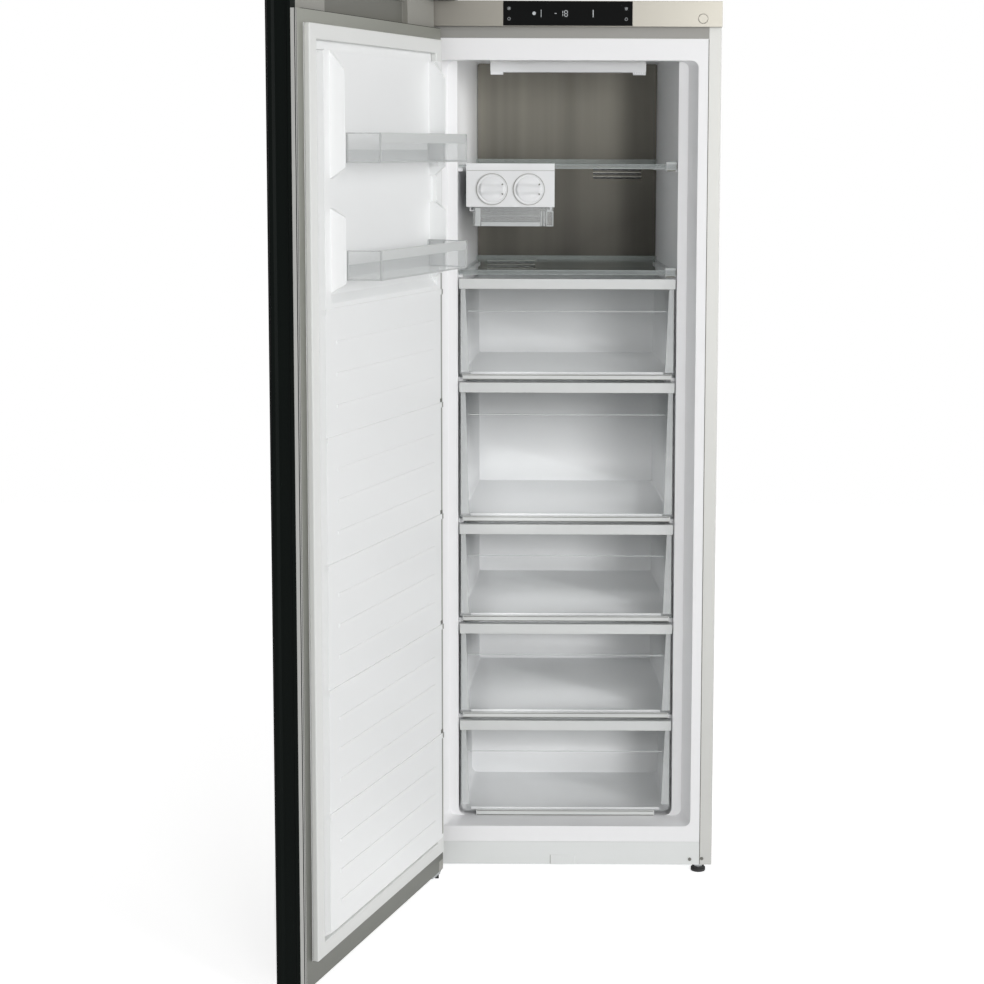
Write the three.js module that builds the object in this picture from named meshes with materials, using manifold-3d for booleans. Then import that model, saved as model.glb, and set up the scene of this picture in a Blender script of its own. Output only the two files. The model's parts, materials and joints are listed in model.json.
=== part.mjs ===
// Upright freezer with its door standing open, built as its separate pieces.
// Millimetres. +X is to the right seen from the front, +Y to the back, +Z up.
// Everything is drawn round the cabinet: its middle is x = 0, its front frame lies
// in the plane y = 0 and it stands on z = 0. Door pieces are drawn with the door shut.

import * as THREE from 'three';
import { mergeVertices } from 'three/addons/utils/BufferGeometryUtils.js';
import Module from 'manifold-3d';

const wasm = await Module();
wasm.setup();

// ---------------------------------------------------------------- driving dimensions

const gap = 0.3; // seating and running clearance between two pieces
const sheet = 1; // steel sheet of the casing
const wall = 2.5; // moulded plastic wall
const plateSteel = 3; // bracket steel
const pressedSheet = 1.5; // floor sheet, machine bay plate and crossbar

// Cabinet
const cabinetWidth = 595;
const cabinetHeight = 1750;
const cabinetDepth = 578;
const underside = 20; // bottom of the cabinet over the floor
const flangeWidth = 24.5; // silver front flange of each side panel
const fasciaHeight = 49;
const fasciaReach = 16; // how far the control panel stands in front of the frame
const crossbarShow = 22; // height of the silver crossbar under the control panel
const hingeRelief = 5; // corner taken off the control panel to clear the open door
const displayLeft = -126;
const displayRight = 123;
const displayThickness = 2;
const displayInset = 1.5; // from the control panel's upper and lower edges
const plugInset = 37.5; // from the cabinet's right side
const plugRise = 15.5;
const plugRadius = 9;
const plinthHeight = 47.7;
const plinthDepth = 11.7;
const plinthTab = [-29.5, 19.5];
const plinthTabHeight = 20;

// Inner liner
const frameSide = 19.6; // flat white frame beside the mouth
const frameTopHeight = 42;
const frameBottomHeight = 32;
const ridgeDepth = 46; // from the front frame back to the ridge round the cavity
const mouthSlope = 16; // how far the mouth narrows on each side down to the ridge
const ridgeWidth = 19.1;
const sillRise = 7;
const ceilingRise = 13;
const cavityDepth = 535;
const cavityTaper = 24.1; // how much narrower each side is at the back
const cornerRadius = 14;
const backCornerRadius = 3; // upright and upper corners at the cavity's back
const humpFront = 290; // the step over the machine bay
const humpTop = 285;
const ledgeReach = 9; // ledges that carry the glass
const ledgeHeight = 8;
const ledgeStart = 60;
const insulation = 45; // foam between the hump and the machine bay
const bayCorner = 40; // sloping corner of the machine bay

// Glass and drawers
const glass = 5;
const glassSideGap = 1.5;
const glassFront = 58;
const coolingDepth = 60; // from the air panel's face to the back of the cavity
const airPanelSheet = 1;
const airSlots = [[58, 1422], [-175, 1218]]; // left end and top of each group
const airSlotRows = 3;
const airSlotPitch = 9;
const airSlotLength = 105;
const airSlotHeight = 4;
const drawerTops = [1208, 1000, 712, 507, 306];
const drawerSpacing = 6; // from a drawer's lip down to the next rail
const drawerLip = 8; // how far the front reaches below the drawer's floor
const drawerFront = 42;
const drawerSideGap = 3.3;
const drawerRail = 20;
const drawerRailDepth = 14;
const drawerPost = 18;
const drawerLineDrop = 64; // moulded line on the pane, below the rail's top
const drawerWall = 2.5;
const drawerRadius = 6;
const drawerBackGap = 10;
const drawerPostDepth = 6;
const runnerInset = 33; // lowest drawer: its runners and lip, from the drawer's side
const runnerWidth = 4;

// Shelves in the open compartment
const shelfSpacing = 210.5;
const lowerShelfRise = 15; // over the rail of the top drawer
const shelfFront = 50;
const shelfBackGap = 29; // from the shelves and plates to the air panel
const shelfTrim = 10;

// Twist ice maker under the upper shelf
const iceLeft = -201;
const iceRight = -26;
const iceBottom = 1350.5;
const iceFront = 46;
const iceBack = 300;
const iceInset = 6; // housing walls inside the edges of its front plate
const iceRailDrop = 9;
const iceTopRise = 3; // front plate over the shelf's glass
const knobRadius = 31;
const knobPitch = 73;
const knobHeight = 35; // knob axis over the housing's lower edge
const trayHalf = 28;
const trayRise = 10;
const trayDrop = 12;
const trayRows = 6;
const trayDivider = 8; // height of the walls between the ice cubes
const iceBoxHeight = 35;

// Door, shut: its inner plane lies in front of the cabinet by the gasket
const doorThickness = 59;
const doorBottom = 24;
const doorTopGap = 2;
const gasketHeight = 12;
const frameGrooves = [[-5.2, -3.6], [-1.9, -1.1]]; // on the free edge, over the inner plane
const frameGrooveDepth = 1.5;
const hingeInset = 17.6; // hinge axis from the door's edge
const hingeSetback = 30; // hinge axis in front of the door's inner plane
const doorOpening = 109.6; // degrees, as the door stands
const frontPanel = 4; // dark front panel
const edgeProfileDepth = 18.5;
const edgeBlack = 47; // dark part of the free edge, from the front
const channelDepth = 4; // finger channel in the dark profile
const bandSide = 21.3; // silver band round the inner face
const capHeight = 54;
const capMiddle = 26; // the cap's middle, behind the door's inner plane
const capEnd = 14; // its end blocks, behind the inner plane
const capLip = 21; // its upper lip, behind the inner plane
const capLipHeight = 9;
const capHingeBlock = 122;
const capFreeBlock = 110;
const capSeam = 1.2; // between the cap and the silver band
const bandTopHeight = 22;
const bandBottomHeight = 44;
const gasketWidth = 26.7;
const dykeHeight = 22; // raised body of the door liner
const dykeDraft = 2;
const dykeFootDraft = 15; // slope of its lower end
const dykeTopStep = 16; // from the gasket down to the top of the raised body
const pocketHeight = 12; // floor between the cheeks, over the inner plane
const borderWidth = 23.5;
const pocketDrop = 424; // lower end of the pocket, below the raised body's top
const pocketSlope = 14; // slope of the pocket's lower end
const cheekCrest = 45;
const cheekCrestWidth = 3;
const cheekWall = 212.5; // inner wall of each cheek, from the door's middle
const upperCheek = { below: 26, slopeUp: 18, slopeDown: 33 }; // round the upper balcony
const lowerCheek = { below: 20, slope: 15, height: 142 };
const lugHeight = 9; // lugs that carry the balconies
const lugRange = [20, 34]; // over the door's inner plane
const ribDrop = 13; // first rib below the pocket
const ribPitch = 218.6;
const ribCount = 5;
const ribHalf = 5;
const ribRise = 2;
const minorRibs = 3;
const minorRibHalf = 3;
const minorRibRise = 1.2;
const minorRibInset = 40;

// Door balconies
const balconyDrops = [188, 386]; // below the top of the raised body
const balconyHeight = 51;
const balconyFront = 99; // over the door's inner plane
const balconyFrontHalf = 189.5;
const balconyRail = 17;
const balconyWall = 2;
const balconyFloor = 2.5;
const balconyBackHeight = 22;
const balconyFlare = 4; // how much narrower a balcony is over the cheeks' crests

// Hinges and feet
const pinRadius = 5;
const pinReach = 20; // each hinge pin inside the door
const pinRoom = 4; // bore beyond the pin
const bracketFront = 16; // hinge plates in front of the hinge axis
const bracketShoulder = 12; // where their arm widens, behind the axis
const bracketArm = [15, 28, 34]; // arm to the right of the axis: front, shoulder, back
const topBracketBack = 60;
const bottomBracketBack = 80;
const bracketLip = 10; // turned-down edge of the bottom plate
const topCoverHeight = 18;
const coverReach = 61.4; // cover to the right of the hinge axis
const coverFront = 19;
const coverNose = 5;
const coverBack = 76;
const footInset = 25.5; // from the cabinet's side
const footY = 26;
const footRadius = 15;
const footPad = 6;
const footNeck = 9; // height of the cone over the pad
const footNut = 9;
const screwReach = 40; // top of the levelling screw
const rollerRadius = 10;
const rollerWidth = 15;
const rollerInset = 47.5;
const rollerSetIn = 28; // from the cabinet's back
const axleRadius = 3;
const forkHalf = 9; // half length of a roller's fork
const forkDrop = 6; // fork below the roller's axis

// Cooling system
const evaporatorFins = 21;
const evaporatorTubes = 5;
const fanHeight = 760;
const fanRadius = 55;
const fanBlades = 7;
const fanShaft = 2.5;
const fanHub = 13;
const motorRadius = 22;
const drainRadius = 8;
const drainBoreRadius = 5.5;
const compressorX = -110;
const compressorSetIn = 123; // from the cabinet's back
const tubeRadius = 3;
const condenserRuns = 7;
const condenserSetIn = 18;
const condenserLeft = 30;
const condenserInset = 47.5; // from the cabinet's right side
const condenserLow = 48;
const condenserPitch = 25;
const compressorLift = 24; // the can over the floor sheet, on its rubber feet
const compressorHeight = 148;
const compressorRadius = 77;
const troughHeight = 45;
const troughInset = 14;
const evaporatorRise = 15; // over the drain trough
const evaporatorHeight = 250;
const evaporatorInset = 18; // from the cavity's wall to the end plates
const evaporatorEnd = 6; // bare tube between the fins and an end plate
const drainSetIn = 29; // spout's axis from the back of the cavity
const lightHalf = 153.5;
const lightDrop = 35; // lower edge of the light cover below the ceiling

// ------------------------------------------------------------------ derived positions

const halfWidth = cabinetWidth / 2;
const sideInner = halfWidth - sheet;
const backInner = cabinetDepth - sheet;
const topInner = cabinetHeight - sheet;
const frameHalf = halfWidth - flangeWidth;
const fasciaBottom = cabinetHeight - fasciaHeight;
const displayBottom = fasciaBottom + displayInset;
const displayTop = cabinetHeight - displayInset;
const plugX = halfWidth - plugInset;
const plugZ = fasciaBottom + plugRise;
const airPanelFront = cavityDepth - coolingDepth;
const airPanelCorner = backCornerRadius
  + ((cornerRadius - backCornerRadius) * coolingDepth) / (cavityDepth - ridgeDepth) + gap;
const shelfBack = airPanelFront - shelfBackGap;
const footX = halfWidth - footInset;
const rollerX = halfWidth - rollerInset;
const rollerY = cabinetDepth - rollerSetIn;
const compressorY = cabinetDepth - compressorSetIn;
const condenserY = cabinetDepth - condenserSetIn;
const condenserRight = halfWidth - condenserInset;
const frameTop = fasciaBottom - crossbarShow;
const frameBottom = underside + plinthHeight + gap;
const mouthHalf = frameHalf - frameSide;
const mouthTop = frameTop - frameTopHeight;
const mouthBottom = frameBottom + frameBottomHeight;
const ridgeHalf = mouthHalf - mouthSlope;
const cavityHalf = ridgeHalf - ridgeWidth;
const cavityFloor = mouthBottom + sillRise;
const ceiling = mouthTop + ceilingRise;
const trayFront = plinthDepth + gap;
const trayTop = underside + pressedSheet;
const bayFront = humpFront + insulation;
const bayTop = humpTop - insulation;
const lowerShelfTop = drawerTops[0] + lowerShelfRise;
const upperShelfTop = lowerShelfTop + shelfSpacing;
const upperGlassBottom = upperShelfTop - glass;
const lowerGlassBottom = lowerShelfTop - glass;
const doorInner = -gasketHeight;
const doorOuter = doorInner - doorThickness;
const doorTop = cabinetHeight - doorTopGap;
const bandTop = doorTop - capHeight;
const hingeX = -halfWidth + hingeInset;
const hingeY = doorInner - hingeSetback;
const ringBack = doorOuter + edgeBlack; // where the silver part of the free edge starts
const knobAxisZ = iceBottom + knobHeight;
const knobXs = [-1, 1].map((side) => (iceLeft + iceRight) / 2 + (side * knobPitch) / 2);
const iceTop = upperShelfTop + iceTopRise;
const drainX = compressorX;
const drainY = cavityDepth - drainSetIn;
const troughTop = humpTop + troughHeight;
const stubEnd = compressorX + 96;
const stubLow = [compressorY - 15, trayTop + 70];
const stubHigh = [compressorY + 15, trayTop + 110];
const compressorTop = trayTop + compressorLift + compressorHeight;
const plateBottoms = drawerTops.slice(1).map((top) => top + drawerSpacing + drawerLip - glass);
const dykeHalf = halfWidth - bandSide - gasketWidth;
const dykeBottom = doorBottom + bandBottomHeight + gasketWidth + gap;
const dykeTop = bandTop - bandTopHeight - gasketWidth - dykeTopStep;
const balconyBottoms = balconyDrops.map((drop) => dykeTop - drop);
const pocketBottom = dykeTop - pocketDrop;
const ribTop = pocketBottom - ribDrop;
const balconyBaseHalf = cheekWall - 2 * gap;
const bandInnerLow = doorBottom + bandBottomHeight;
const bandInnerHigh = bandTop - bandTopHeight;
const profileBack = doorOuter + frontPanel + gap;
const capRight = halfWidth - edgeProfileDepth - gap;

// Half width of the cavity at depth y behind the ridge.
function cavityHalfAt(y) {
  return cavityHalf - (cavityTaper * (y - ridgeDepth)) / (cavityDepth - ridgeDepth);
}

// ------------------------------------------------------------------------ shape tools

// A closed geometry as a solid that can be joined and cut.
function solid(geometry) {
  const bare = geometry.clone();
  bare.deleteAttribute('normal');
  bare.deleteAttribute('uv');
  const merged = mergeVertices(bare);
  const kept = [];
  for (let i = 0; i < merged.index.count; i += 3) {
    const corners = [0, 1, 2].map((k) => merged.index.getX(i + k));
    if (new Set(corners).size === 3) kept.push(...corners);
  }
  return new wasm.Manifold(new wasm.Mesh({
    numProp: 3,
    vertProperties: new Float32Array(merged.attributes.position.array),
    triVerts: new Uint32Array(kept),
  }));
}

// A box between two corners, given as one range for each axis.
function block([x0, x1], [y0, y1], [z0, z1]) {
  const box = new THREE.BoxGeometry(1, 1, 1);
  const place = box.attributes.position;
  for (let i = 0; i < place.count; i += 1) {
    const x = place.getX(i) < 0 ? x0 : x1;
    const y = place.getY(i) < 0 ? y0 : y1;
    const z = place.getZ(i) < 0 ? z0 : z1;
    place.setXYZ(i, x, y, z);
  }
  return solid(box);
}

// An outline pushed along an axis. The outline's pairs are the other two axes in
// the order x, y, z.
function prism(axis, outline, from, to) {
  const points = outline.map(([a, b]) => new THREE.Vector2(...(axis === 'y' ? [b, a] : [a, b])));
  const geometry = new THREE.ExtrudeGeometry(new THREE.Shape(points), {
    depth: 1,
    bevelEnabled: false,
  });
  const place = geometry.attributes.position;
  for (let i = 0; i < place.count; i += 1) {
    const u = place.getX(i);
    const v = place.getY(i);
    const w = place.getZ(i) < 0.5 ? from : to;
    if (axis === 'x') place.setXYZ(i, w, u, v);
    else if (axis === 'y') place.setXYZ(i, v, w, u);
    else place.setXYZ(i, u, v, w);
  }
  return solid(geometry);
}

// A round bar along an axis, its centre given on the other two axes.
function rod(axis, [a, b], radius, from, to, sides = 20) {
  const outline = [];
  for (let i = 0; i < sides; i += 1) {
    const angle = ((i + 0.5) * 2 * Math.PI) / sides;
    outline.push([a + radius * Math.cos(angle), b + radius * Math.sin(angle)]);
  }
  return prism(axis, outline, from, to);
}

// A ring of points round a rectangle with round corners, in the plane y.
function ring(y, [x0, x1], [z0, z1], radius) {
  const steps = 4;
  const points = [];
  const corners = [[x1, z1, 0], [x1, z0, 1], [x0, z0, 2], [x0, z1, 3]];
  for (const [x, z, turn] of corners) {
    const cx = x - Math.sign(x - (x0 + x1) / 2) * radius;
    const cz = z - Math.sign(z - (z0 + z1) / 2) * radius;
    for (let i = 0; i <= steps; i += 1) {
      const angle = ((turn + i / steps) * Math.PI) / 2;
      points.push([cx + radius * Math.sin(angle), y, cz + radius * Math.cos(angle)]);
    }
  }
  return points;
}

// A closed body through rings of equally many points, each ring convex.
function loft(rings) {
  const count = rings[0].length;
  const index = [];
  for (let r = 0; r + 1 < rings.length; r += 1) {
    for (let i = 0; i < count; i += 1) {
      const a = r * count + i;
      const b = r * count + ((i + 1) % count);
      index.push(a, b, b + count, a, b + count, a + count);
    }
  }
  const last = (rings.length - 1) * count;
  for (let i = 1; i + 1 < count; i += 1) {
    index.push(0, i + 1, i);
    index.push(last, last + i, last + i + 1);
  }
  const geometry = new THREE.BufferGeometry();
  geometry.setAttribute('position', new THREE.Float32BufferAttribute(rings.flat(2), 3));
  geometry.setIndex(index);
  return solid(geometry);
}

// A round tube along a curve.
function tube(curve, radius, steps, sides = 6) {
  const section = new THREE.Shape();
  for (let i = 0; i < sides; i += 1) {
    const angle = (i * 2 * Math.PI) / sides;
    const point = [radius * Math.cos(angle), radius * Math.sin(angle)];
    if (i === 0) section.moveTo(...point);
    else section.lineTo(...point);
  }
  return solid(new THREE.ExtrudeGeometry(section, { steps, extrudePath: curve }));
}

function join(...solids) {
  return solids.flat().reduce((sum, next) => sum.add(next));
}

function cut(body, ...tools) {
  return tools.flat().reduce((left, tool) => left.subtract(tool), body);
}

function mirrored(body) {
  return body.mirror([1, 0, 0]);
}

// ------------------------------------------------------------------------- the looks

const looks = {
  silver: [0xb4b2ab, 0.35, 0.7],
  steel: [0x67645a, 0.3, 0.9],
  zinc: [0xc3c5c4, 0.45, 0.8],
  copper: [0xb5713f, 0.35, 0.9],
  aluminium: [0xc9cacb, 0.4, 0.8],
  white: [0xeeeeec, 0.45, 0],
  whiteTrim: [0xe3e4e2, 0.4, 0],
  greyTrim: [0xb9b7b0, 0.5, 0],
  gasket: [0xe8e8e5, 0.7, 0],
  black: [0x121514, 0.3, 0],
  blackPaint: [0x17191a, 0.55, 0.2],
  glass: [0xbfd2cc, 0.05, 0],
  clear: [0xdfe4e3, 0.12, 0],
  foam: [0xe6d9a8, 0.95, 0],
  rubber: [0x2b2b2b, 0.8, 0],
};

function place(group, name, body, look) {
  const { vertProperties, triVerts } = body.getMesh();
  const geometry = new THREE.BufferGeometry();
  geometry.setAttribute('position', new THREE.BufferAttribute(vertProperties, 3));
  geometry.setIndex(new THREE.BufferAttribute(triVerts, 1));
  const [color, roughness, metalness] = looks[look];
  const flatShading = true;
  const material = new THREE.MeshStandardMaterial({ color, roughness, metalness, flatShading });
  const mesh = new THREE.Mesh(geometry, material);
  mesh.name = name;
  group.add(mesh);
}

// ---------------------------------------------------------------------------- casing

function sidePanel() {
  const outline = [
    [frameHalf, 0],
    [halfWidth, 0],
    [halfWidth, backInner],
    [sideInner, backInner],
    [sideInner, sheet],
    [frameHalf, sheet],
  ];
  return prism('z', outline, underside, topInner);
}

// Floor sheet with its front turned up, and the forks of the rear rollers.
function baseTray() {
  const floor = block([-sideInner, sideInner], [trayFront, backInner], [underside, trayTop]);
  const upturn = [trayFront, trayFront + pressedSheet];
  const front = block([-sideInner, sideInner], upturn, [underside, frameBottom - gap]);
  const forks = [];
  for (const side of [-1, 1]) {
    for (const cheek of [-1, 1]) {
      const near = side * rollerX + cheek * (rollerWidth / 2 + 2 * gap);
      const range = [near, near + cheek * plateSteel].sort((a, b) => a - b);
      const ear = block(range, [rollerY - forkHalf, rollerY + forkHalf],
        [rollerRadius - forkDrop, underside + 1]);
      const hole = rod('x', [rollerY, rollerRadius], axleRadius + gap, range[0] - 1, range[1] + 1, 12);
      forks.push(cut(ear, hole));
    }
  }
  return cut(join(floor, front, forks), footBores(gap, trayTop + 1));
}

// The ways of the two levelling screws, with room round them.
function footBores(room, top) {
  return [-1, 1].map((side) => rod('z', [side * footX, footY], pinRadius + room, 0, top));
}

// Bent sheet that closes the machine bay off from the foam.
function machineBayPlate() {
  const outline = [
    [bayFront, trayTop],
    [bayFront, bayTop - bayCorner],
    [bayFront + bayCorner, bayTop],
    [backInner, bayTop],
    [backInner, bayTop - pressedSheet],
    [bayFront + bayCorner + 0.6, bayTop - pressedSheet],
    [bayFront + pressedSheet, bayTop - bayCorner - 0.6],
    [bayFront + pressedSheet, trayTop],
  ];
  return cut(prism('x', outline, gap - sideInner, sideInner - gap), drainBore(pressedSheet));
}

// The way of the drain spout down into the machine bay, with room round it.
function drainBore(room) {
  return rod('z', [drainX, drainY], drainRadius + room, bayTop - 20, humpTop + 5);
}

function foamBlock() {
  const front = wall + gap;
  const lowFront = trayFront + pressedSheet + gap;
  const outline = [
    [lowFront, trayTop + gap],
    [bayFront - gap, trayTop + gap],
    [bayFront - gap, bayTop - bayCorner + gap],
    [bayFront + bayCorner - gap, bayTop + gap],
    [backInner - gap, bayTop + gap],
    [backInner - gap, topInner - gap],
    [front, topInner - gap],
    [front, frameBottom + gap],
    [lowFront, frameBottom + gap],
  ];
  const filling = prism('x', outline, gap - sideInner, sideInner - gap);
  const screws = footBores(2 * gap, screwReach + 2);
  return cut(filling, linerEnvelope(wall + gap), drainBore(wall), screws);
}

// --------------------------------------------------------------------------- liner

// The room inside the freezer, grown outwards by `grow`.
function linerEnvelope(grow) {
  const mouth = loft([
    ring(grow > 0 ? 0 : -5, [-mouthHalf - grow, mouthHalf + grow],
      [mouthBottom - grow, mouthTop + grow], cornerRadius + grow),
    ring(0.5, [-mouthHalf - grow, mouthHalf + grow],
      [mouthBottom - grow, mouthTop + grow], cornerRadius + grow),
    ring(ridgeDepth + grow, [-ridgeHalf - grow, ridgeHalf + grow],
      [cavityFloor - grow, mouthTop + grow], cornerRadius + grow),
  ]);
  const backHalf = cavityHalf - cavityTaper + grow;
  const chamber = loft([
    ring(ridgeDepth, [-cavityHalf - grow, cavityHalf + grow],
      [cavityFloor - grow, ceiling + grow], cornerRadius + grow),
    ring(cavityDepth + grow, [-backHalf, backHalf],
      [cavityFloor - grow, ceiling + grow], backCornerRadius + grow),
  ]);
  const hump = block([-halfWidth, halfWidth], [humpFront + grow, cavityDepth + 50], [0, humpTop - grow]);
  return join(mouth, cut(chamber, hump));
}

// One ledge on the right-hand wall, its top at height z.
function ledge(z, back) {
  const rings = [ledgeStart, back].map((y) => {
    const face = cavityHalfAt(y);
    return [
      [face - ledgeReach, y, z - ledgeHeight],
      [face - ledgeReach, y, z],
      [face + 1, y, z],
      [face + 1, y, z - ledgeHeight],
    ];
  });
  return loft(rings);
}

function innerLiner() {
  const frame = block([-frameHalf, frameHalf], [0, wall], [frameBottom, frameTop]);
  const shell = cut(join(frame, linerEnvelope(wall)), linerEnvelope(0));
  const heights = [...plateBottoms, upperGlassBottom - gap, lowerGlassBottom - gap];
  const ledges = heights.flatMap((z) => {
    const right = ledge(z, shelfBack);
    return [right, mirrored(right)];
  });
  return cut(join(shell, ledges), drainBore(gap));
}

// ------------------------------------------------------------------ front of the body

function controlPanel() {
  const front = -fasciaReach;
  const skin = cut(
    block([-halfWidth, halfWidth], [front, 0], [fasciaBottom, cabinetHeight]),
    block([wall - halfWidth, halfWidth - wall], [front + wall, 1],
      [fasciaBottom + wall, cabinetHeight - wall]),
  );
  const backing = block([displayLeft - wall, displayRight + wall], [front + 1, front + 2 * wall],
    [fasciaBottom + 1, cabinetHeight - 1]);
  const recess = block([displayLeft - gap, displayRight + gap], [front - 1, front + displayThickness + gap],
    [displayBottom - gap, displayTop + gap]);
  const plugHole = rod('y', [plugX, plugZ], plugRadius + gap, front - 1, 0);
  const relief = prism('z', [
    [-halfWidth - 1, front - 1],
    [hingeRelief + 1 - halfWidth, front - 1],
    [-halfWidth - 1, hingeRelief + 1 + front],
  ], fasciaBottom - 1, cabinetHeight + 1);
  return cut(join(skin, backing), recess, plugHole, relief);
}

function displayGlass() {
  return block([displayLeft, displayRight], [-fasciaReach, displayThickness - fasciaReach],
    [displayBottom, displayTop]);
}

function screwPlug() {
  const head = rod('y', [plugX, plugZ], plugRadius, -fasciaReach - 0.8, wall - fasciaReach, 24);
  const stem = rod('y', [plugX, plugZ], plugRadius - 4, wall - fasciaReach - 1, -gap, 12);
  return join(head, stem);
}

function plinthPanel() {
  const top = underside + plinthHeight;
  const outline = [
    [0, underside],
    [plinthDepth, underside],
    [plinthDepth, underside + wall],
    [wall, underside + wall],
    [wall, top - wall],
    [plinthDepth, top - wall],
    [plinthDepth, top],
    [0, top],
  ];
  const tab = block(plinthTab, [-1, 1], [underside, underside + plinthTabHeight]);
  return join(prism('x', outline, -frameHalf, frameHalf), tab);
}

// -------------------------------------------------------------------- hinges and feet

// Plan of a hinge plate, from in front of the hinge axis back over or under the cabinet.
function hingePlate(back, bottom, top) {
  const [front, shoulder, rear] = bracketArm;
  return prism('z', [
    [gap - halfWidth, hingeY - bracketFront],
    [hingeX + front, hingeY - bracketFront],
    [hingeX + shoulder, hingeY + bracketShoulder],
    [hingeX + rear, back],
    [gap - halfWidth, back],
  ], bottom, top);
}

function topHingeBracket() {
  const plate = hingePlate(topBracketBack, cabinetHeight, cabinetHeight + plateSteel);
  const pin = rod('z', [hingeX, hingeY], pinRadius, doorTop - pinReach, cabinetHeight + 1);
  return join(plate, pin);
}

function topHingeCover() {
  const top = cabinetHeight + topCoverHeight;
  const right = hingeX + coverReach;
  const hood = loft([
    ring(hingeY - coverFront, [-halfWidth, right - 20], [cabinetHeight, top - coverNose], 2),
    ring(hingeY - coverFront + coverNose, [-halfWidth, right], [cabinetHeight, top], 2),
    ring(coverBack, [-halfWidth, right], [cabinetHeight, top], 2),
  ]);
  const room = block([-halfWidth - 1, hingeX + bracketArm[2] + 2],
    [hingeY - bracketFront - gap, topBracketBack + gap],
    [cabinetHeight - 1, cabinetHeight + plateSteel + gap]);
  return cut(hood, room);
}

function bottomHingeBracket() {
  const plate = hingePlate(bottomBracketBack, underside - plateSteel, underside);
  const lip = cut(
    hingePlate(bottomBracketBack, underside - bracketLip, underside - 1),
    hingePlate(bottomBracketBack + 5, 0, underside).translate([-plateSteel, plateSteel, 0]),
  );
  const pin = rod('z', [hingeX, hingeY], pinRadius, underside - 1, doorBottom + pinReach);
  return cut(join(plate, lip, pin), footBores(gap, underside + 1));
}

function frontFoot(side) {
  const centre = [side * footX, footY];
  const pad = rod('z', centre, footRadius, 0, footPad, 24);
  const cone = rod('z', centre, footRadius - 2.5, footPad - 1, footNeck, 24);
  const nut = rod('z', centre, footNut, footNeck - 1, underside - plateSteel - gap, 6);
  const screw = rod('z', centre, pinRadius, footNeck, screwReach, 16);
  return join(pad, cone, nut, screw);
}

function rearRoller(side) {
  const centre = [rollerY, rollerRadius];
  const middle = side * rollerX;
  const wheel = rod('x', centre, rollerRadius, middle - rollerWidth / 2, middle + rollerWidth / 2, 24);
  const reach = rollerWidth / 2 + 2 * gap + plateSteel + 1;
  const axle = rod('x', centre, axleRadius, middle - reach, middle + reach, 12);
  return join(wheel, axle);
}

// ------------------------------------------------------------------- cooling, inside

// Steel panel at the back of the cavity, with two groups of air slots.
function rearAirPanel() {
  const half = cavityHalfAt(airPanelFront) - 1;
  const back = airPanelFront + airPanelSheet;
  const sides = [airPanelFront, back].map((y) => (
    ring(y, [-half, half], [humpTop - 2 * cornerRadius, ceiling], airPanelCorner)));
  const below = block([-halfWidth, halfWidth], [0, cabinetDepth], [0, humpTop]);
  const slots = [];
  for (const [left, top] of airSlots) {
    for (let i = 0; i < airSlotRows; i += 1) {
      const z = top - i * airSlotPitch;
      slots.push(block([left, left + airSlotLength], [airPanelFront - 1, back + 1],
        [z - airSlotHeight, z]));
    }
  }
  return cut(loft(sides), below, slots);
}

function evaporator() {
  const near = airPanelFront + 9;
  const far = cavityDepth - 7;
  const half = cavityHalfAt(cavityDepth) - evaporatorInset;
  const finHalf = half - evaporatorEnd;
  const bottom = troughTop + evaporatorRise;
  const top = bottom + evaporatorHeight;
  const pipe = [(near + far) / 2 - 4, (near + far) / 2 + 4];
  const fins = [];
  for (let i = 0; i < evaporatorFins; i += 1) {
    const x = -finHalf + (2 * finHalf * i) / (evaporatorFins - 1);
    fins.push(block([x - 0.75, x + 0.75], [near, far], [bottom, top]));
  }
  const tubes = [];
  const pitch = evaporatorHeight / evaporatorTubes;
  for (let i = 0; i < evaporatorTubes; i += 1) {
    const z = bottom + (i + 0.5) * pitch;
    tubes.push(block([-half, half], pipe, [z - 4, z + 4]));
  }
  const ends = [-1, 1].flatMap((side) => {
    const endPlate = [side * half, side * (half + 2)].sort((a, b) => a - b);
    const header = [side * (half - 2), side * (half + 1)].sort((a, b) => a - b);
    return [
      block(endPlate, [near, cavityDepth - gap], [troughTop + gap, top + 5]),
      block(header, pipe, [bottom + pitch / 2 - 4, top - pitch / 2 + 4]),
    ];
  });
  return join(fins, tubes, ends);
}

function drainTrough() {
  const front = airPanelFront + 6;
  const back = cavityDepth - 4;
  const half = cavityHalfAt(cavityDepth) - troughInset;
  const body = block([-half, half], [front, back], [humpTop + gap, troughTop]);
  const bowl = prism('x', [
    [front + 2, troughTop + 1],
    [front + 2, humpTop + 24],
    [drainY, humpTop + 8],
    [back - 2, humpTop + 24],
    [back - 2, troughTop + 1],
  ], 2 - half, half - 2);
  const spout = rod('z', [drainX, drainY], drainRadius, bayTop - 13, humpTop + 5, 16);
  const bore = rod('z', [drainX, drainY], drainBoreRadius, bayTop - 20, humpTop + 20, 16);
  return cut(join(body, spout), bowl, bore);
}

function fanMotor() {
  const can = rod('y', [0, fanHeight], motorRadius, airPanelFront + 28, cavityDepth - 6, 24);
  const bracket = block([-50, 50], [cavityDepth - 7, cavityDepth - gap], [fanHeight - 12, fanHeight + 12]);
  const bore = rod('y', [0, fanHeight], fanShaft + gap, airPanelFront + 20, airPanelFront + 42, 12);
  return cut(join(can, bracket), bore);
}

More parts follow.
